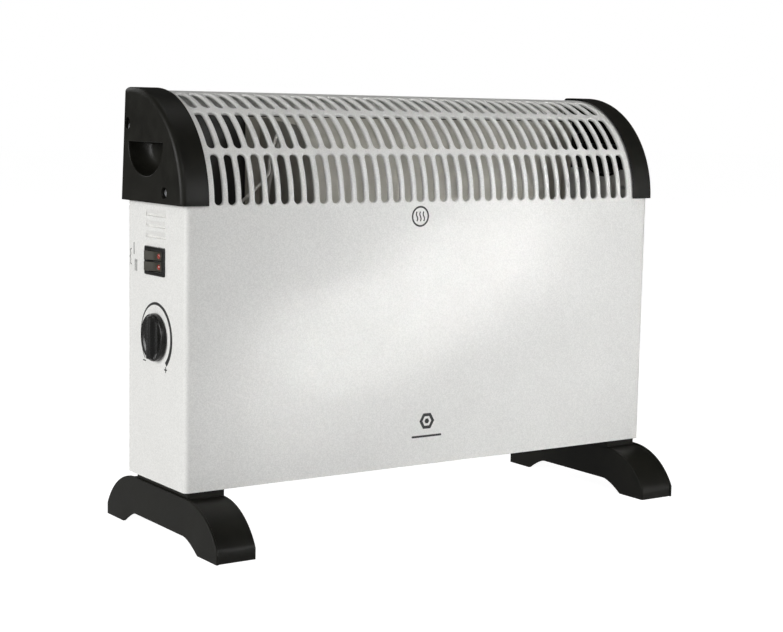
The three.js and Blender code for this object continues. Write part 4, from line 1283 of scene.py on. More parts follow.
@dataclass
class Screw:
    """A pan-head screw with a cross recess and a ringed shank."""

    head: float = 3.6
    height: float = 1.8
    shank: float = 1.9
    slot_half: float = 0.5
    slot_reach: float = 2.1
    slot_depth: float = 1.1
    thread: float = 0.9

    def recessed(self, p: Array, q: Array, h: Array) -> Array:
        """Heights lowered inside a cross: deep where min(|p|, |q|) is small and max is in reach."""
        near = np.minimum(np.abs(p), np.abs(q))
        far = np.maximum(np.abs(p), np.abs(q))
        cross = ease((self.slot_half - near) / 0.12) * ease((self.slot_reach - far) / 0.2)
        return h - self.slot_depth * cross * (h > 1.0)

    def build(self, node: str, axis: str, length: float) -> None:
        """Makes the screw that stands for a CAD screw.

        Args:
            node: the CAD node.
            axis: the way its head faces.
            length: its shank's length.
        """
        low, high = (np.array(c) / MM - (SHIFT, 0, 0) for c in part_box(node))
        along = "xyz".index(axis[-1])
        seat = (low + high) / 2
        seat[along] = low[along] + self.height if axis[0] == "-" else high[along] - self.height
        r = np.concatenate([np.linspace(0, 2.2, 12), [2.5, 2.9, 3.25, 3.5, self.head]])
        dome = self.height * (1 - 0.62 * (r / self.head) ** 4)
        count = int(length / self.thread) - 1
        step = np.arange(count * 2 + 1)
        shank = np.stack([self.shank - 0.3 * (step % 2), -0.3 - step * self.thread / 2], axis=1)
        profile = np.concatenate([
            np.stack([r, dome], axis=1), [[self.head, 0.0], [self.shank, 0.0]], shank,
            [[0.0, -length]]])
        dress(f"{node}_turned", lathe(profile, axis, seat, 40, self.recessed), ZINC,
              stands_for=[node], crease=28)


SCREWS = {"left_cap_screw": (2, "-x", 9.0), "right_cap_screw": (2, "x", 9.0),
          "foot_screw": (4, "-z", 33.9), "rear_screw": (8, "y", 8.0),
          "thermostat_screw": (2, "-x", 6.0)}


def build_screws() -> None:
    """Makes every screw, each in its CAD node's place."""
    for name, (count, axis, length) in SCREWS.items():
        for i in range(count):
            Screw().build(f"{name}_{i + 1}", axis, length)


# ------------------------------------------------------------------ controls


@dataclass
class Switches:
    """The switch frame with two wells, and two rockers with lamp lenses."""

    middle: tuple[float, float] = SWITCH_AT
    frame: tuple[float, float] = (37.0, 25.0)
    proud: float = 1.95
    rim: float = 3.2
    well: tuple[float, float] = (29.2, 8.4)
    pitch: float = 9.4
    depth: float = 14.0
    pivot_x: float = -257.0
    rocker: tuple[float, float] = (28.0, 7.8)
    tilt: float = 10.0
    lens_away: float = 7.6

    def wells(self) -> list[Array]:
        """The two wells' outlines in Y and Z."""
        y, z = self.middle
        half, tall = self.well[0] / 2, self.well[1] / 2
        return [centred_box(y, z + s * self.pitch / 2, half, tall, 0.5, 2) for s in (1, -1)]

    def bezel(self) -> None:
        """The frame on the casing, its well walls and floor."""
        half, tall = self.frame[0] / 2, self.frame[1] / 2
        inside = centred_box(*self.middle, half - self.rim, tall - self.rim, 0.6, 2)
        well_floor = -CASE.side + self.depth
        inner = slab(inside, "x", -CASE.side, well_floor, 0.0, self.wells())
        floor = slab(inside, "x", well_floor + 0.02, well_floor + 6, 0.4)
        dress("switch_frame", joined(self.frame_skin(), inner, floor), GLOSS,
              stands_for=["switch_bezel"])

    def frame_skin(self) -> Skin:
        """The frame's proud plate, with its rounded rim on the outside."""
        plate = slab(centred_box(*self.middle, self.frame[0] / 2, self.frame[1] / 2, 1.4), "x",
                     CASE.side + 0.05, CASE.side + self.proud, 0.7, self.wells(), low_edge=0.0)
        return plate.mirrored()

    def facing(self, y: Array) -> Array:
        """A rocker's face: x = -3.4 - 0.138 (hypot(y, 1.5) - 1.5), two planes softened at the pivot."""
        return -3.4 - 0.138 * (np.hypot(y, 1.5) - 1.5)

    def rockers(self) -> None:
        """The rockers, with domed lenses towards the front."""
        half, tall = self.rocker[0] / 2 - 1, self.rocker[1] / 2
        y = np.linspace(half, -half, 21)
        dish = np.stack([self.facing(y), y], axis=1)
        back = np.array([[-4.6, -half - 0.7], [-4.0, -half - 0.8], [-0.5, -half - 0.2],
                         [7.0, -half + 5], [7.0, half - 5], [-0.5, half + 0.2],
                         [-4.0, half + 0.8], [-4.6, half + 0.7]])
        outline = np.concatenate([dish, back])
        lens_x = float(self.facing(np.array(self.lens_away)))
        dome = np.array([[0, 0.95], [0.9, 0.88], [1.7, 0.62], [2.25, 0.25], [2.5, -0.15],
                         [2.5, -1.4], [0, -1.4]])
        collar = np.array([[2.5, -0.6], [2.5, 0.1], [2.75, 0.28], [3.15, 0.2], [3.3, -0.1],
                           [3.3, -0.6], [2.5, -0.6]])
        for body, side in ((Body.UPPER, 1), (Body.LOWER, -1)):
            name = body.value.split("_")[0]
            at = (self.pivot_x, self.middle[0], self.middle[1] + side * self.pitch / 2)
            block = slab(outline, "z", -tall, tall, 0.45)
            ring = lathe(collar, "-x", (lens_x, -self.lens_away, 0), 32)
            lamp = lathe(dome, "-x", (lens_x, -self.lens_away, 0), 32)
            dress(f"{name}_rocker_key", moved(joined(block, ring), self.tilt, at), SATIN,
                  body, [f"{name}_rocker"])
            dress(f"{name}_lamp_lens", moved(lamp, self.tilt, at), LENS, body, [f"{name}_lens"])

    def build(self) -> None:
        """Makes the frame and the rockers."""
        self.bezel()
        self.rockers()


@dataclass
class Knob:
    """The thermostat knob: a skirted disc with a ridge across it and a scoop on either side."""

    place: tuple[float, float] = DIAL_AT
    reach: float = 19.5
    face: float = 5.2
    ridge: float = 9.5
    crown: float = 1.1
    ridge_half: float = 2.4
    flank: float = 6.5
    scoop: float = 2.2

    def front(self, p: Array, q: Array, h: Array) -> Array:
        """Face heights: the rim's level less a scoop s sin(pi t), and a ridge blended over it.

        t runs from the ridge's side to the rim across the knob.

        Args:
            p: place across the ridge.
            q: place along it.
            h: heights without the scoops and ridge.

        Returns:
            The new heights.
        """
        reach = self.reach
        r = np.hypot(p, q)
        edge = np.sqrt(np.maximum(reach ** 2 - q ** 2, 0.01))
        t = np.clip((np.abs(p) - self.ridge_half) / np.maximum(edge - self.ridge_half, 0.5), 0, 1)
        dish = self.face - self.scoop * np.sin(math.pi * t ** 0.75) * ease((reach - r) / 5)
        crest = self.ridge - self.crown * (p / self.ridge_half) ** 2
        fall = (self.ridge_half + self.flank - np.abs(p)) / self.flank
        share = ease(fall) * ease((reach + 0.2 - r) / 1.8)
        return np.where(h > self.face - 0.05, dish + (crest - dish) * share, h)

    def build(self) -> None:
        """Makes the knob."""
        r = np.linspace(0, self.reach, 54)
        profile = np.concatenate([
            np.stack([r, np.full(len(r), self.face)], axis=1),
            [[20.1, 5.05], [20.5, 4.7], [20.7, 4.2], [20.85, 3.0], [21.0, 0.95], [20.9, 0.8],
             [19.9, 0.8], [19.6, 1.0], [19.2, 2.3], [6.0, 2.3], [5.7, 2.0], [5.7, 0.8],
             [3.4, 0.8], [3.4, 2.2], [0, 2.2]]])
        skin = lathe(profile, "-x", (-CASE.side, *self.place), 144, self.front)
        dress("thermostat_dial", skin, DIAL, Body.KNOB, ["thermostat_knob"])


# ------------------------------------------------------------------ printed marks


@dataclass
class Prints:
    """Screen-printed marks: a heat emblem and a badge in front, scale and switch marks at the side."""

    film: float = 0.07
    emblem: tuple[float, float] = (-19.7, 281.6)
    badge: tuple[float, float] = (-7.5, 91.0)
    scale_radius: float = 30.5
    scale_sweep: tuple[float, float] = (-44.0, 230.0)
    scale_width: tuple[float, float] = (0.9, 4.1)

    def bar(self, start: Sequence[float], end: Sequence[float], width: float) -> Array:
        """A straight bar's outline, anticlockwise, with round ends."""
        a, b = np.array(start, float), np.array(end, float)
        turn = math.degrees(math.atan2(b[1] - a[1], b[0] - a[0]))
        r = width / 2
        return np.concatenate([arc(*b, r, turn - 90, turn + 90, 6),
                               arc(*a, r, turn + 90, turn + 270, 6)])

    def plus(self, y: float, z: float, reach: float, half: float) -> Array:
        """A plus sign's outline, anticlockwise: one arm's end turned to the four sides."""
        arm = np.array([[reach, -half], [reach, half], [half, half]])
        turned = [arm @ np.array([[math.cos(a), math.sin(a)], [-math.sin(a), math.cos(a)]])
                  for a in np.arange(4) * math.pi / 2]
        return np.concatenate(turned) + (y, z)

    def stroke(self, path: Array, width: Array) -> Array:
        """A stroke's outline: the path moved half its width to either side."""
        along = np.gradient(path, axis=0)
        along /= np.linalg.norm(along, axis=1, keepdims=True)
        across = np.stack([-along[:, 1], along[:, 0]], axis=1) * np.reshape(width, (-1, 1)) / 2
        return np.concatenate([path - across, (path + across)[::-1]])

    def print_on(self, name: str, axis: str, shapes: Sequence[tuple[Array, Sequence[Array]]]
                 ) -> None:
        """Lays flat shapes on the front or on the controls' end as thin films.

        Args:
            name: the piece's name.
            axis: y for the front, x for the controls' end.
            shapes: outlines, each with its holes, as seen from outside the front or in Y and Z.
        """
        face = CASE.front if axis == "y" else -CASE.side
        films = [slab(outline, axis, face - self.film, face - 0.01, 0.0, holes)
                 for outline, holes in shapes]
        dress(name, joined(*films), INK)

    def build(self) -> None:
        """Makes every mark."""
        x, z = self.emblem
        t = np.linspace(0, 1, 17)
        waves = [(self.stroke(np.stack([x + dx + 0.75 * np.sin(TAU * t), z - 4.4 + 8.8 * t],
                                       axis=1), np.full(17, 1.25)), ()) for dx in (-3.8, 0, 3.8)]
        self.print_on("heat_emblem", "y", [
            (circle(x, z, 9.6, 56), [circle(x, z, 7.9, 56)]), *waves])
        x, z = self.badge
        inner = [circle(x, z, 5.1, 6)]
        self.print_on("badge", "y", [
            (circle(x, z, 8.4, 6), inner), (circle(x, z, 2.6, 6), ()),
            (self.bar((x - 16, z - 14.2), (x + 16, z - 14.2), 2.0), ())])
        y, z = DIAL_AT
        thin, thick = self.scale_width
        angle = np.radians(np.linspace(*self.scale_sweep, 70))
        width = thin + (thick - thin) * ease(np.linspace(0, 1, 70))
        radius = self.scale_radius - width / 2
        scale = np.stack([y + radius * np.cos(angle), z + radius * np.sin(angle)], axis=1)
        self.print_on("thermostat_scale", "x", [
            (self.stroke(scale, width)[::-1], ()),
            (self.bar((y + 20.6, z - 23), (y + 25.2, z - 23), 1.1), ()),
            (self.plus(y - 18, z - 26.4, 2.6, 0.6), ())])
        bracket = np.array([[50.6, 251.4], [52.4, 250.4], [52.2, 246.2], [53.8, 244.4],
                            [52.2, 242.6], [52.4, 238.6], [50.6, 237.6]])
        fine = smooth_path(np.c_[bracket, np.zeros(7)], 6)[:, :2]
        self.print_on("switch_marks", "x", [
            (self.bar((45.5, 247.2), (45.5, 257.0), 1.1), ()),
            (self.bar((40.0, 232.8), (40.0, 242.4), 1.1), ()),
            (self.bar((43.2, 232.8), (43.2, 242.4), 1.1), ()),
            (self.stroke(fine, np.full(len(fine), 0.9))[::-1], ())])


# ------------------------------------------------------------------ heating chamber


@dataclass
class Chamber:
    """The partitions, reflectors and open-coil element seen through the slots."""

    left: float = -130.0
    right: float = 231.0
    floor: float = TRAY_TOP
    front: float = -49.0
    rear: float = 49.0
    top: float = CASE.top - 22
    element: float = ELEMENT_Z
    turns: int = 88
    wire: float = 0.45
    wound: float = 4.5
    boards: int = 3
    coils: tuple[tuple[float, float], ...] = ((-18, -13), (18, -13), (0, 15))

    def wing(self, x0: float, x1: float) -> Skin:
        """A partition's rear flange between two places across the width."""
        return slab(rounded_box(x0, x1, self.floor + 20, self.top, 0.8, 2), "y", self.rear - 1,
                    self.rear, 0.2)

    def partitions(self) -> None:
        """Two sheet partitions with rear flanges; the right one narrows to a strip above."""
        reach = arc(CASE.centre, CASE.spring, CASE.curve - 6, 176, 96, 16)
        reach = reach[(reach[:, 0] > self.front + 1) & (reach[:, 1] < self.top - 2)]
        tall = np.concatenate([[[self.front, self.floor + 0.3]], reach,
                               [[CASE.centre, self.top], [self.rear, self.top],
                                [self.rear, self.floor + 0.3]]])[::-1]
        sheet = slab(tall, "x", self.left - 1, self.left, 0.2,
                     [circle(MID, self.element + 30, 5, 24)], 2)
        wing = self.wing(self.left - 16, self.left - 0.4)
        collar = np.array([[3.6, -2.2], [3.6, 1.2], [4.4, 1.6], [6.4, 1.4], [6.6, 0.2],
                           [5.0, 0.0], [5.0, -1.0], [6.6, -1.2], [6.2, -2.2], [3.6, -2.2]])
        dress("left_chamber_wall", joined(sheet, wing), ALUMINISED, stands_for=["left_partition"])
        dress("lead_grommet", lathe(collar, "x", (self.left, MID, self.element + 30), 28), TRIM)
        shoulder = CASE.spring - 12
        narrow = np.array([
            [self.front, self.floor + 0.3], [self.front, shoulder - 30],
            [self.rear - 14, shoulder], [self.rear - 14, self.top], [self.rear, self.top],
            [self.rear, self.floor + 0.3]])[::-1]
        sheet = slab(narrow, "x", self.right, self.right + 1, 0.2)
        wing = self.wing(self.right + 0.4, self.right + 11)
        rivet = np.array([[0, 0.9], [1.0, 0.8], [1.7, 0.4], [2.0, 0.0], [2.0, -0.6], [0, -0.6]])
        rivets = [lathe(rivet, "-y", (self.right + 6, self.rear - 1, z), 20)
                  for z in (self.top - 8, self.top - 58, self.floor + 60)]
        dress("right_chamber_wall", joined(sheet, wing, *rivets), ALUMINISED,
              stands_for=["right_partition"])

    def reflectors(self) -> None:
        """Two plates with shallow stiffening ribs pressed across them."""
        y1 = self.rear - 1.3
        spans = {"rear": (y1 - 0.5, self.top, 1), "front": (CASE.front + 10, 264.5, -1)}
        for name, (y, top, way) in spans.items():
            x = np.linspace(self.left + 0.3, self.right - 0.3, 40)
            z = np.linspace(self.floor + 24, top, 90)
            xx, zz = np.meshgrid(x, z)
            rib = ease(1 - np.abs((zz - self.floor - 60) % 70 - 35) / 4) * ease(
                (180 - np.abs(xx - 50.5)) / 8)
            skin = Skin().grid(np.stack([xx, y + 0.25 - way * 1.1 * rib + 0 * xx, zz], axis=-1),
                               flip=way < 0)
            dress(f"{name}_reflector_plate", skin, ALUMINISED,
                  stands_for=[f"{name}_reflector"], wall=0.5)

    def coil(self, y: float, z: float) -> Skin:
        """A wire wound in an even helix: (x, y + r cos a, z + r sin a), a growing along x."""
        radius = self.wound
        a = np.linspace(0, self.turns * TAU, self.turns * 13 + 1)
        x = np.linspace(self.left + 8, self.right - 8, len(a))
        path = np.stack([x, y + radius * np.cos(a), z + radius * np.sin(a)], axis=1)
        return tube(path, self.wire, 6)

    def element_set(self) -> None:
        """Coils, the mica boards that carry them, and the rod that ties the boards."""
        rod_at = (MID, self.element - 6)
        wells = [(MID + dy, self.element + dz) for dy, dz in self.coils]
        for i, (y, z) in enumerate(wells, 1):
            dress(f"resistance_coil_{i}", self.coil(y, z), HEATING,
                  stands_for=[f"heating_coil_{i}"], crease=60)
        span = self.right - self.left
        places = [self.left + span * (i + 0.5) / self.boards for i in range(self.boards)]
        outline = rounded_box(-31.5, 34.5, self.element - 31, self.element + 31, 4)
        holes = [circle(y, z, 5.7, 28) for y, z in wells] + [circle(*rod_at, 2.4, 20)]
        for i, x in enumerate(places, 1):
            dress(f"mica_holder_{i}", slab(outline, "x", x - 0.5, x + 0.5, 0.15, holes, 2), MICA,
                  stands_for=[f"mica_board_{i}"])
        n = int(self.right - self.left - 1)
        thread = 2.0 - 0.12 * (np.arange(2 * n) % 2)
        length = np.linspace(0, self.right - self.left - 0.6, 2 * n)
        profile = np.concatenate([[[0, 0]], np.stack([thread, -length], axis=1),
                                  [[0, -length[-1]]]])
        rod = lathe(profile, "x", (self.right - 0.3, *rod_at), 14)
        nut = [slab(circle(*rod_at, 4.2, 6), "x", x + 0.55, x + 3.2, 0.3,
                    [circle(*rod_at, 2.05, 14)]) for x in places]
        dress("element_tie_rod", joined(rod, *nut), ZINC, stands_for=["element_rod"])

    def build(self) -> None:
        """Makes the partitions, reflectors and element."""
        self.partitions()
        self.reflectors()
        self.element_set()


@dataclass
class Fan:
    """The shaded-pole fan: shroud, twisted blades, rotor, winding."""

    x: float = 50.5
    y: float = 0.0
    floor: float = 51.6
    tip: float = 37.0
    hub: float = 10.0
    blades: int = 6
    stack_low: float = 72.9
    stack: float = 16.0
    turns: int = 15
    wound_reach: float = 11.2
    wound_half: tuple[float, float] = (12.0, 10.6)

    def shroud(self) -> None:
        """A bell-mouthed ring on a flat flange."""
        a = np.linspace(0, math.pi / 2, 6)
        mouth = np.stack([40 + 1.5 * (1 - np.cos(a)), 14.5 + 1.5 * np.sin(a)], axis=1)
        profile = np.concatenate([[[40, 0]], mouth, [[42.3, 16.0], [42.3, 15.2], [41.2, 14.2],
                                                     [41.0, 1.6], [41.6, 1.0], [46.8, 1.0],
                                                     [47.0, 0.8], [47.0, 0.0], [40, 0]]])
        dress("fan_duct", lathe(profile, "z", (self.x, self.y, self.floor), 72), LAMINATION,
              stands_for=["fan_shroud"])

    def impeller(self) -> None:
        """A domed hub with blades whose pitch falls from 42 to 24 degrees towards the tips."""
        middle = self.floor + 8.5
        hub = np.array([[1.9, 5.5], [2.4, 5.6], [7.0, 5.5], [9.2, 4.8], [10, 3.6], [10, -5.2],
                        [9.6, -5.5], [1.9, -5.5], [1.9, 5.5]])
        skin = lathe(hub, "z", (self.x, self.y, middle), 48)
        s, c = np.meshgrid(np.linspace(0, 1, 14), np.linspace(-0.5, 0.5, 9), indexing="ij")
        radius = self.hub - 0.6 + (self.tip - 0.3 - self.hub + 0.6) * s
        chord = 13 + 6 * np.sin(math.pi * np.clip(s * 0.85 + 0.1, 0, 1))
        pitch = np.radians(42 - 18 * s)
        across, rise = chord * c * np.cos(pitch), -chord * c * np.sin(pitch) + 1.2 * (4 * c * c - 1)
        rise = np.clip(rise, -5.4, 5.4)
        thick = 0.65 * np.sqrt(np.clip(1 - 4 * c * c, 0.04, 1))
        turn = np.arange(self.blades)[:, None, None] * TAU / self.blades
        angle = turn + np.arcsin(np.clip(across / radius, -0.95, 0.95))[None]
        sheets = [np.stack([self.x + radius * np.cos(angle), self.y + radius * np.sin(angle),
                            np.broadcast_to(middle + rise + way * thick, angle.shape)], axis=-1)
                  for way in (1, -1)]
        loop = np.concatenate([sheets[0], sheets[1][:, :, ::-1]], axis=2)
        skin.grid(loop, ring=True)
        skin.grid(np.stack([sheets[0][:, -1], sheets[1][:, -1]], axis=1), flip=True)
        dress("fan_blades", skin, NYLON, Body.FAN, ["fan_impeller"])

    def rotor(self) -> None:
        """The rotor with its end rings, on a spindle with a rounded tip."""
        low, high = self.stack_low, self.stack_low + self.stack
        profile = np.array([[0, high + 8], [1.2, high + 7.8], [1.6, high + 7.3], [1.6, high + 0.5],
                            [6.5, high + 0.3], [8.6, high], [9.1, high - 0.5], [9.1, high - 2],
                            [9.5, high - 2.2], [9.5, low + 2.2], [9.1, low + 2], [9.1, low + 0.5],
                            [8.6, low], [1.6, low - 0.2], [1.6, self.floor + 3.6],
                            [1.2, self.floor + 3], [0, self.floor + 3]])
        dress("fan_spindle_rotor", lathe(profile, "z", (self.x, self.y, 0), 48), LAMINATION,
              Body.FAN, ["fan_rotor"])

    def winding(self) -> None:
        """The coil round the core's leg: turns that bulge between two bobbin cheeks.

        Each row across Y is the leg's rectangle grown by the wire's depth, with a ripple of one
        wave for each turn.
        """
        x, z = self.x + 30.5, self.stack_low + self.stack / 2
        reach, turns, (across, tall) = self.wound_reach, self.turns, self.wound_half
        rows = np.linspace(-reach, reach, turns * 6 + 1)
        ripple = 0.35 * np.abs(np.sin(math.pi * turns * (rows + reach) / (2 * reach)))
        bulge = 0.8 * (1 - (rows / reach) ** 2)
        loops = np.stack([on_y(self.y + r)(centred_box(x, z, across + d, tall + d, 3))
                          for r, d in zip(rows, ripple + bulge)])
        wound = Skin().grid(loops, ring=True, flip=True)
        leg = centred_box(x, z, 5.8, 8.3, 0.5)
        for r, over in ((reach, True), (-reach, False)):
            wound.plate([centred_box(x, z, across, tall, 3), leg], on_y(self.y + r), flip=over)
        dress("fan_winding", wound, COPPER, stands_for=["fan_coil"])
        cheeks = [slab(centred_box(x, z, 15.3, 12.8, 2), "y", y, y + 1.4, 0.3, [leg])
                  for y in (self.y - 12.7, self.y + 11.3)]
        dress("fan_bobbin", joined(*cheeks), NYLON)

    def build(self) -> None:
        """Makes the fan's parts."""
        self.shroud()
        self.impeller()
        self.rotor()
        self.winding()


@dataclass
class Wiring:
    """Leads along smooth routes, the terminal block and the thermal cut-out."""

    block: tuple[float, float, float] = (-199.0, 27.5, 51.6)
    switch_x: float = -236.7
    stat_x: float = -235.4
    cutout: tuple[float, float] = (-131.3, 221.3)
    radius: float = 1.45

    def routes(self) -> dict[str, list[tuple[float, float, float]]]:
        """Each lead's knots, in the casing's frame."""
        x, y, z = self.block
        s, t, (cx, cz) = self.switch_x, self.stat_x, self.cutout
        above = z + 14 + 1.8
        (by, bz), (ky, kz), el, top = SWITCH_AT, DIAL_AT, ELEMENT_Z, CASE.spring
        return {
            "live_lead": [(x - 12, y, above), (x - 14, y - 2, above + 30),
                          (s + 16, y - 12, bz - 60), (s + 10, by + 8, bz - 14),
                          (s, by + 6, bz - 4)],
            "switch_lead": [(s, by - 4, bz + 3), (s + 18, by - 8, bz - 6),
                            (s + 18, ky - 4, kz + 34), (t, ky - 4, kz + 8)],
            "element_lead": [(t, ky + 3, kz - 8), (t + 26, ky, kz - 22),
                             (cx - 40, 1.5 - 4, el + 10), (cx - 8, 1.5, el + 30)],
            "neutral_lead": [(x + 12, y, above), (x + 18, y - 4, above + 34),
                             (cx - 30, 15.5, el + 20), (cx - 16, 5.5, cz - 14),
                             (cx - 12, 1.5, cz)],
            "fan_lead": [(s, by + 4, bz + 5), (s + 24, by, bz + 22), (cx - 30, -10.5, top + 18),
                         (cx - 23, -10.5, top + 38), (cx - 14, -6.5, top + 58),
                         (cx - 8, 1.5, top + 46), (cx - 14, 7.5, top + 4),
                         (cx - 12, 6.5, cz + 14)],
        }

    def leads(self) -> None:
        """Each lead along its route."""
        for name, knots in self.routes().items():
            lead = tube(smooth_path(knots, 14), self.radius, 14)
            dress(f"{name}_run", lead, SLEEVES[name], stands_for=[name])

    def terminals(self) -> None:
        """A three-way terminal block with clamp screws on top."""
        x, y, z = self.block
        ways = [x + d for d in (-12, 0, 12)]
        base = slab(centred_box(x, y, 18, 9, 1.2), "z", z, z + 8, 0.5)
        towers = [slab(centred_box(at, y, 4.2, 6, 1.4), "z", z + 7.4, z + 13.8, 0.6,
                       [circle(at, y - 2.8, 1.7, 20)]) for at in ways]
        dress("terminal_strip", joined(base, *towers), NYLON, stands_for=["terminal_block"])
        pin = np.array([[0, 0.2], [1.3, 0.15], [1.6, -0.1], [1.6, -4], [0, -4]])
        pins = [lathe(pin, "z", (at, y - 2.8, z + 12.8), 20) for at in ways]
        dress("terminal_clamps", joined(*pins), ZINC)

    def thermal_cutout(self) -> None:
        """A disc thermostat: a stepped body on a rounded bracket with two tags."""
        x, z = self.cutout
        body = np.array([[0, 9.0], [5.0, 9.0], [5.6, 8.5], [5.8, 5.4], [7.4, 5.2], [8.0, 4.6],
                         [8.0, 0.6], [0, 0.6]])
        bracket = slab(rounded_box(-11.5, 14.5, z - 6, z + 6, 3), "x", x - 1, x, 0.25,
                       [circle(-8.5, z, 1.9, 20), circle(11.5, z, 1.9, 20)])
        tags = [slab(centred_box(MID + d, z, 2.6, 0.4, 0.2, 2), "x", x - 12.5, x - 8.6, 0.1)
                for d in (-4, 4)]
        dress("disc_cutout", joined(lathe(body, "-x", (x, MID, z), 44), bracket), BAKELITE,
              stands_for=["thermal_cutout"])
        dress("cutout_tags", joined(*tags), ZINC)

    def build(self) -> None:
        """Makes the leads, the block and the cut-out."""
        self.leads()
        self.terminals()
        self.thermal_cutout()


def finish_kept_nodes() -> None:
    """Gives the CAD nodes that stay on show their finishes."""
    kept = {"thermostat_shaft": ZINC, "thermostat_body": BAKELITE, "fan_stator": LAMINATION,
            "fan_bridge": ZINC, "fan_bearing_strap": ZINC}
    for name, finish in kept.items():
        for one in frame["nodes"][name].material_slots:
            one.material = finish.material()


# ------------------------------------------------------------------ stage


@dataclass(frozen=True)
class Softbox:
    """A rectangular light: place and aim in metres, width and height, watts, beam in degrees."""

    at: Sequence[float]
    aim: Sequence[float]
    size: tuple[float, float]
    power: float
    spread: float = 180.0
    along: Sequence[float] = (1, 0, 0)


LIGHTS = {
    "side_key": Softbox((-2.4, 0.25, 0.8), (-0.2, 0, 0.15), (1.2, 1.2), 42),
    "front_soft": Softbox((-0.8, -3.2, 2.0), (0, 0, 0.2), (1.6, 1.6), 26),
    "left_strip": Softbox((-1.9, -1.15, 0.4), (-0.25, 0, 0.2), (0.5, 0.8), 4.5),
    "back_soft": Softbox((-0.5, 3.2, 1.6), (0, 0, 0.2), (1.6, 1.6), 14),
    "low_right": Softbox((1.5, -2.0, 0.25), (0, 0, 0.2), (0.9, 0.5), 5),
    "panel_pool": Softbox((0.75, -1.6, 0.6), (0.14, -0.05, 0.2), (0.4, 0.4), 0.7, 36),
    "panel_streak": Softbox((0.1, -1.25, 0.3), (-0.03, -0.05, 0.2), (0.36, 0.02), 0.035, 9,
                            (0.33, 0, 0.15)),
    "top_soft": Softbox((0.2, 0.3, 2.4), (0, 0, 0.3), (1.4, 0.8), 5),
}


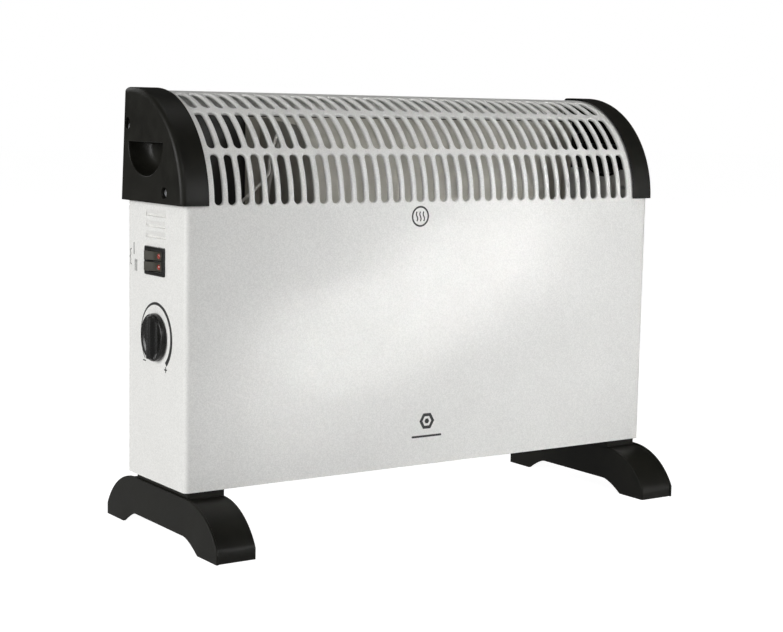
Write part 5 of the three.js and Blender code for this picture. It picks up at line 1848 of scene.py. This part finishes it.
@dataclass
class Stage:
    """Floor, lights and camera."""

    ambient: tuple[float, float] = (0.12, 0.04)
    eye: tuple[float, float, float] = (-0.9077, -1.3105, 0.3770)
    floor_glow: tuple[float, float, float] = (0.25, 0.03, 0.97)
    yaw: float = 34.38
    pitch: float = -6.94
    roll: float = 1.1
    lens: float = 77.6
    floor_half: float = 12.0
    floor_colour: Colour = (0.3, 0.3, 0.3)

    def floor(self) -> None:
        """A wide pale floor: white to the camera, with a soft glow that fades away from the heater."""
        mesh = bpy.data.meshes.new("floor")
        r = self.floor_half
        mesh.from_pydata([(-r, -r, 0), (r, -r, 0), (r, r, 0), (-r, r, 0)], [], [(0, 1, 2, 3)])
        graph = Graph("floor_white")
        graph.shader.inputs["Base Color"].default_value = (*self.floor_colour, 1)
        graph.shader.inputs["Roughness"].default_value = 0.9
        graph.shader.inputs["Emission Color"].default_value = (1, 1, 1, 1)
        away = graph.node("ShaderNodeVectorMath", {0: graph.place}, operation="LENGTH").outputs[1]
        near = graph.spread(away, *self.floor_glow[:2], 0.6, 1.8)
        ray = graph.node("ShaderNodeLightPath").outputs["Is Camera Ray"]
        glow = graph.node("ShaderNodeMapRange", {"Value": ray, 1: 0.0, 2: 1.0, 3: near,
                                                 4: self.floor_glow[2]})
        graph.link(glow.outputs[0], "Emission Strength")
        mesh.materials.append(graph.material)
        floor = bpy.data.objects.new("floor", mesh)
        bpy.context.scene.collection.objects.link(floor)

    def light(self, name: str, box: Softbox) -> None:
        """Hangs a rectangular softbox.

        Args:
            name: its name.
            box: its place, size and power.
        """
        data = bpy.data.lights.new(name, "AREA")
        data.shape, data.size, data.size_y = "RECTANGLE", *box.size
        data.energy, data.spread = box.power, math.radians(box.spread)
        lamp = bpy.data.objects.new(name, data)
        back = (Vector(box.at) - Vector(box.aim)).normalized()
        up = back.cross(Vector(box.along)).normalized()
        turn = Matrix((up.cross(back), up, back)).transposed().to_4x4()
        lamp.matrix_world = Matrix.Translation(box.at) @ turn
        bpy.context.scene.collection.objects.link(lamp)

    def world(self) -> None:
        """A surround that is white to the camera, and a dim fill, stronger from the front."""
        world = bpy.data.worlds.new("studio")
        world.use_nodes = True
        tree = world.node_tree
        back = tree.nodes["Background"]
        way = tree.nodes.new("ShaderNodeTexCoord")
        parts = tree.nodes.new("ShaderNodeSeparateXYZ")
        tree.links.new(way.outputs["Generated"], parts.inputs[0])
        fall = tree.nodes.new("ShaderNodeMapRange")
        limits = {"From Min": -0.5, "From Max": 0.4, "To Min": self.ambient[0],
                  "To Max": self.ambient[1]}
        for name, value in limits.items():
            fall.inputs[name].default_value = value
        tree.links.new(parts.outputs["Y"], fall.inputs["Value"])
        ray = tree.nodes.new("ShaderNodeLightPath")
        level = tree.nodes.new("ShaderNodeMapRange")
        tree.links.new(fall.outputs["Result"], level.inputs["To Min"])
        level.inputs["To Max"].default_value = 1.0
        tree.links.new(ray.outputs["Is Camera Ray"], level.inputs["Value"])
        tree.links.new(level.outputs["Result"], back.inputs["Strength"])
        back.inputs["Color"].default_value = (1, 1, 1, 1)
        bpy.context.scene.world = world

    def camera(self) -> None:
        """The camera, turned by yaw towards +X, then pitch, then roll."""
        yaw, pitch, roll = (math.radians(a) for a in (self.yaw, self.pitch, self.roll))
        ahead = Vector((math.sin(yaw) * math.cos(pitch), math.cos(yaw) * math.cos(pitch),
                        math.sin(pitch)))
        right = Vector((math.cos(yaw), -math.sin(yaw), 0))
        up = right.cross(ahead)
        across = math.cos(roll) * right + math.sin(roll) * up
        upward = -math.sin(roll) * right + math.cos(roll) * up
        data = bpy.data.cameras.new("camera")
        data.lens, data.sensor_width, data.sensor_fit = self.lens, 36.0, "HORIZONTAL"
        data.clip_start, data.clip_end = 0.01, 60.0
        eye = bpy.data.objects.new("camera", data)
        turn = Matrix((across, upward, -ahead)).transposed().to_4x4()
        eye.matrix_world = Matrix.Translation(self.eye) @ turn
        bpy.context.scene.collection.objects.link(eye)
        bpy.context.scene.camera = eye

    def build(self) -> None:
        """Sets the stage."""
        bpy.context.scene.view_settings.view_transform = "Standard"
        self.camera()
        self.floor()
        self.world()
        for name, box in LIGHTS.items():
            self.light(name, box)


def main() -> None:
    """Builds the heater sub-assembly by sub-assembly, then the stage around it."""
    logging.basicConfig(level=logging.INFO, format="%(message)s")
    Stage().build()
    Shell().build()
    Covers().build()
    for side in ("left", "right"):
        EndCap().build(side)
        Foot().build(side)
    build_screws()
    Switches().build()
    Knob().build()
    Prints().build()
    Chamber().build()
    Fan().build()
    Wiring().build()
    finish_kept_nodes()


if __name__ == "__main__":
    main()
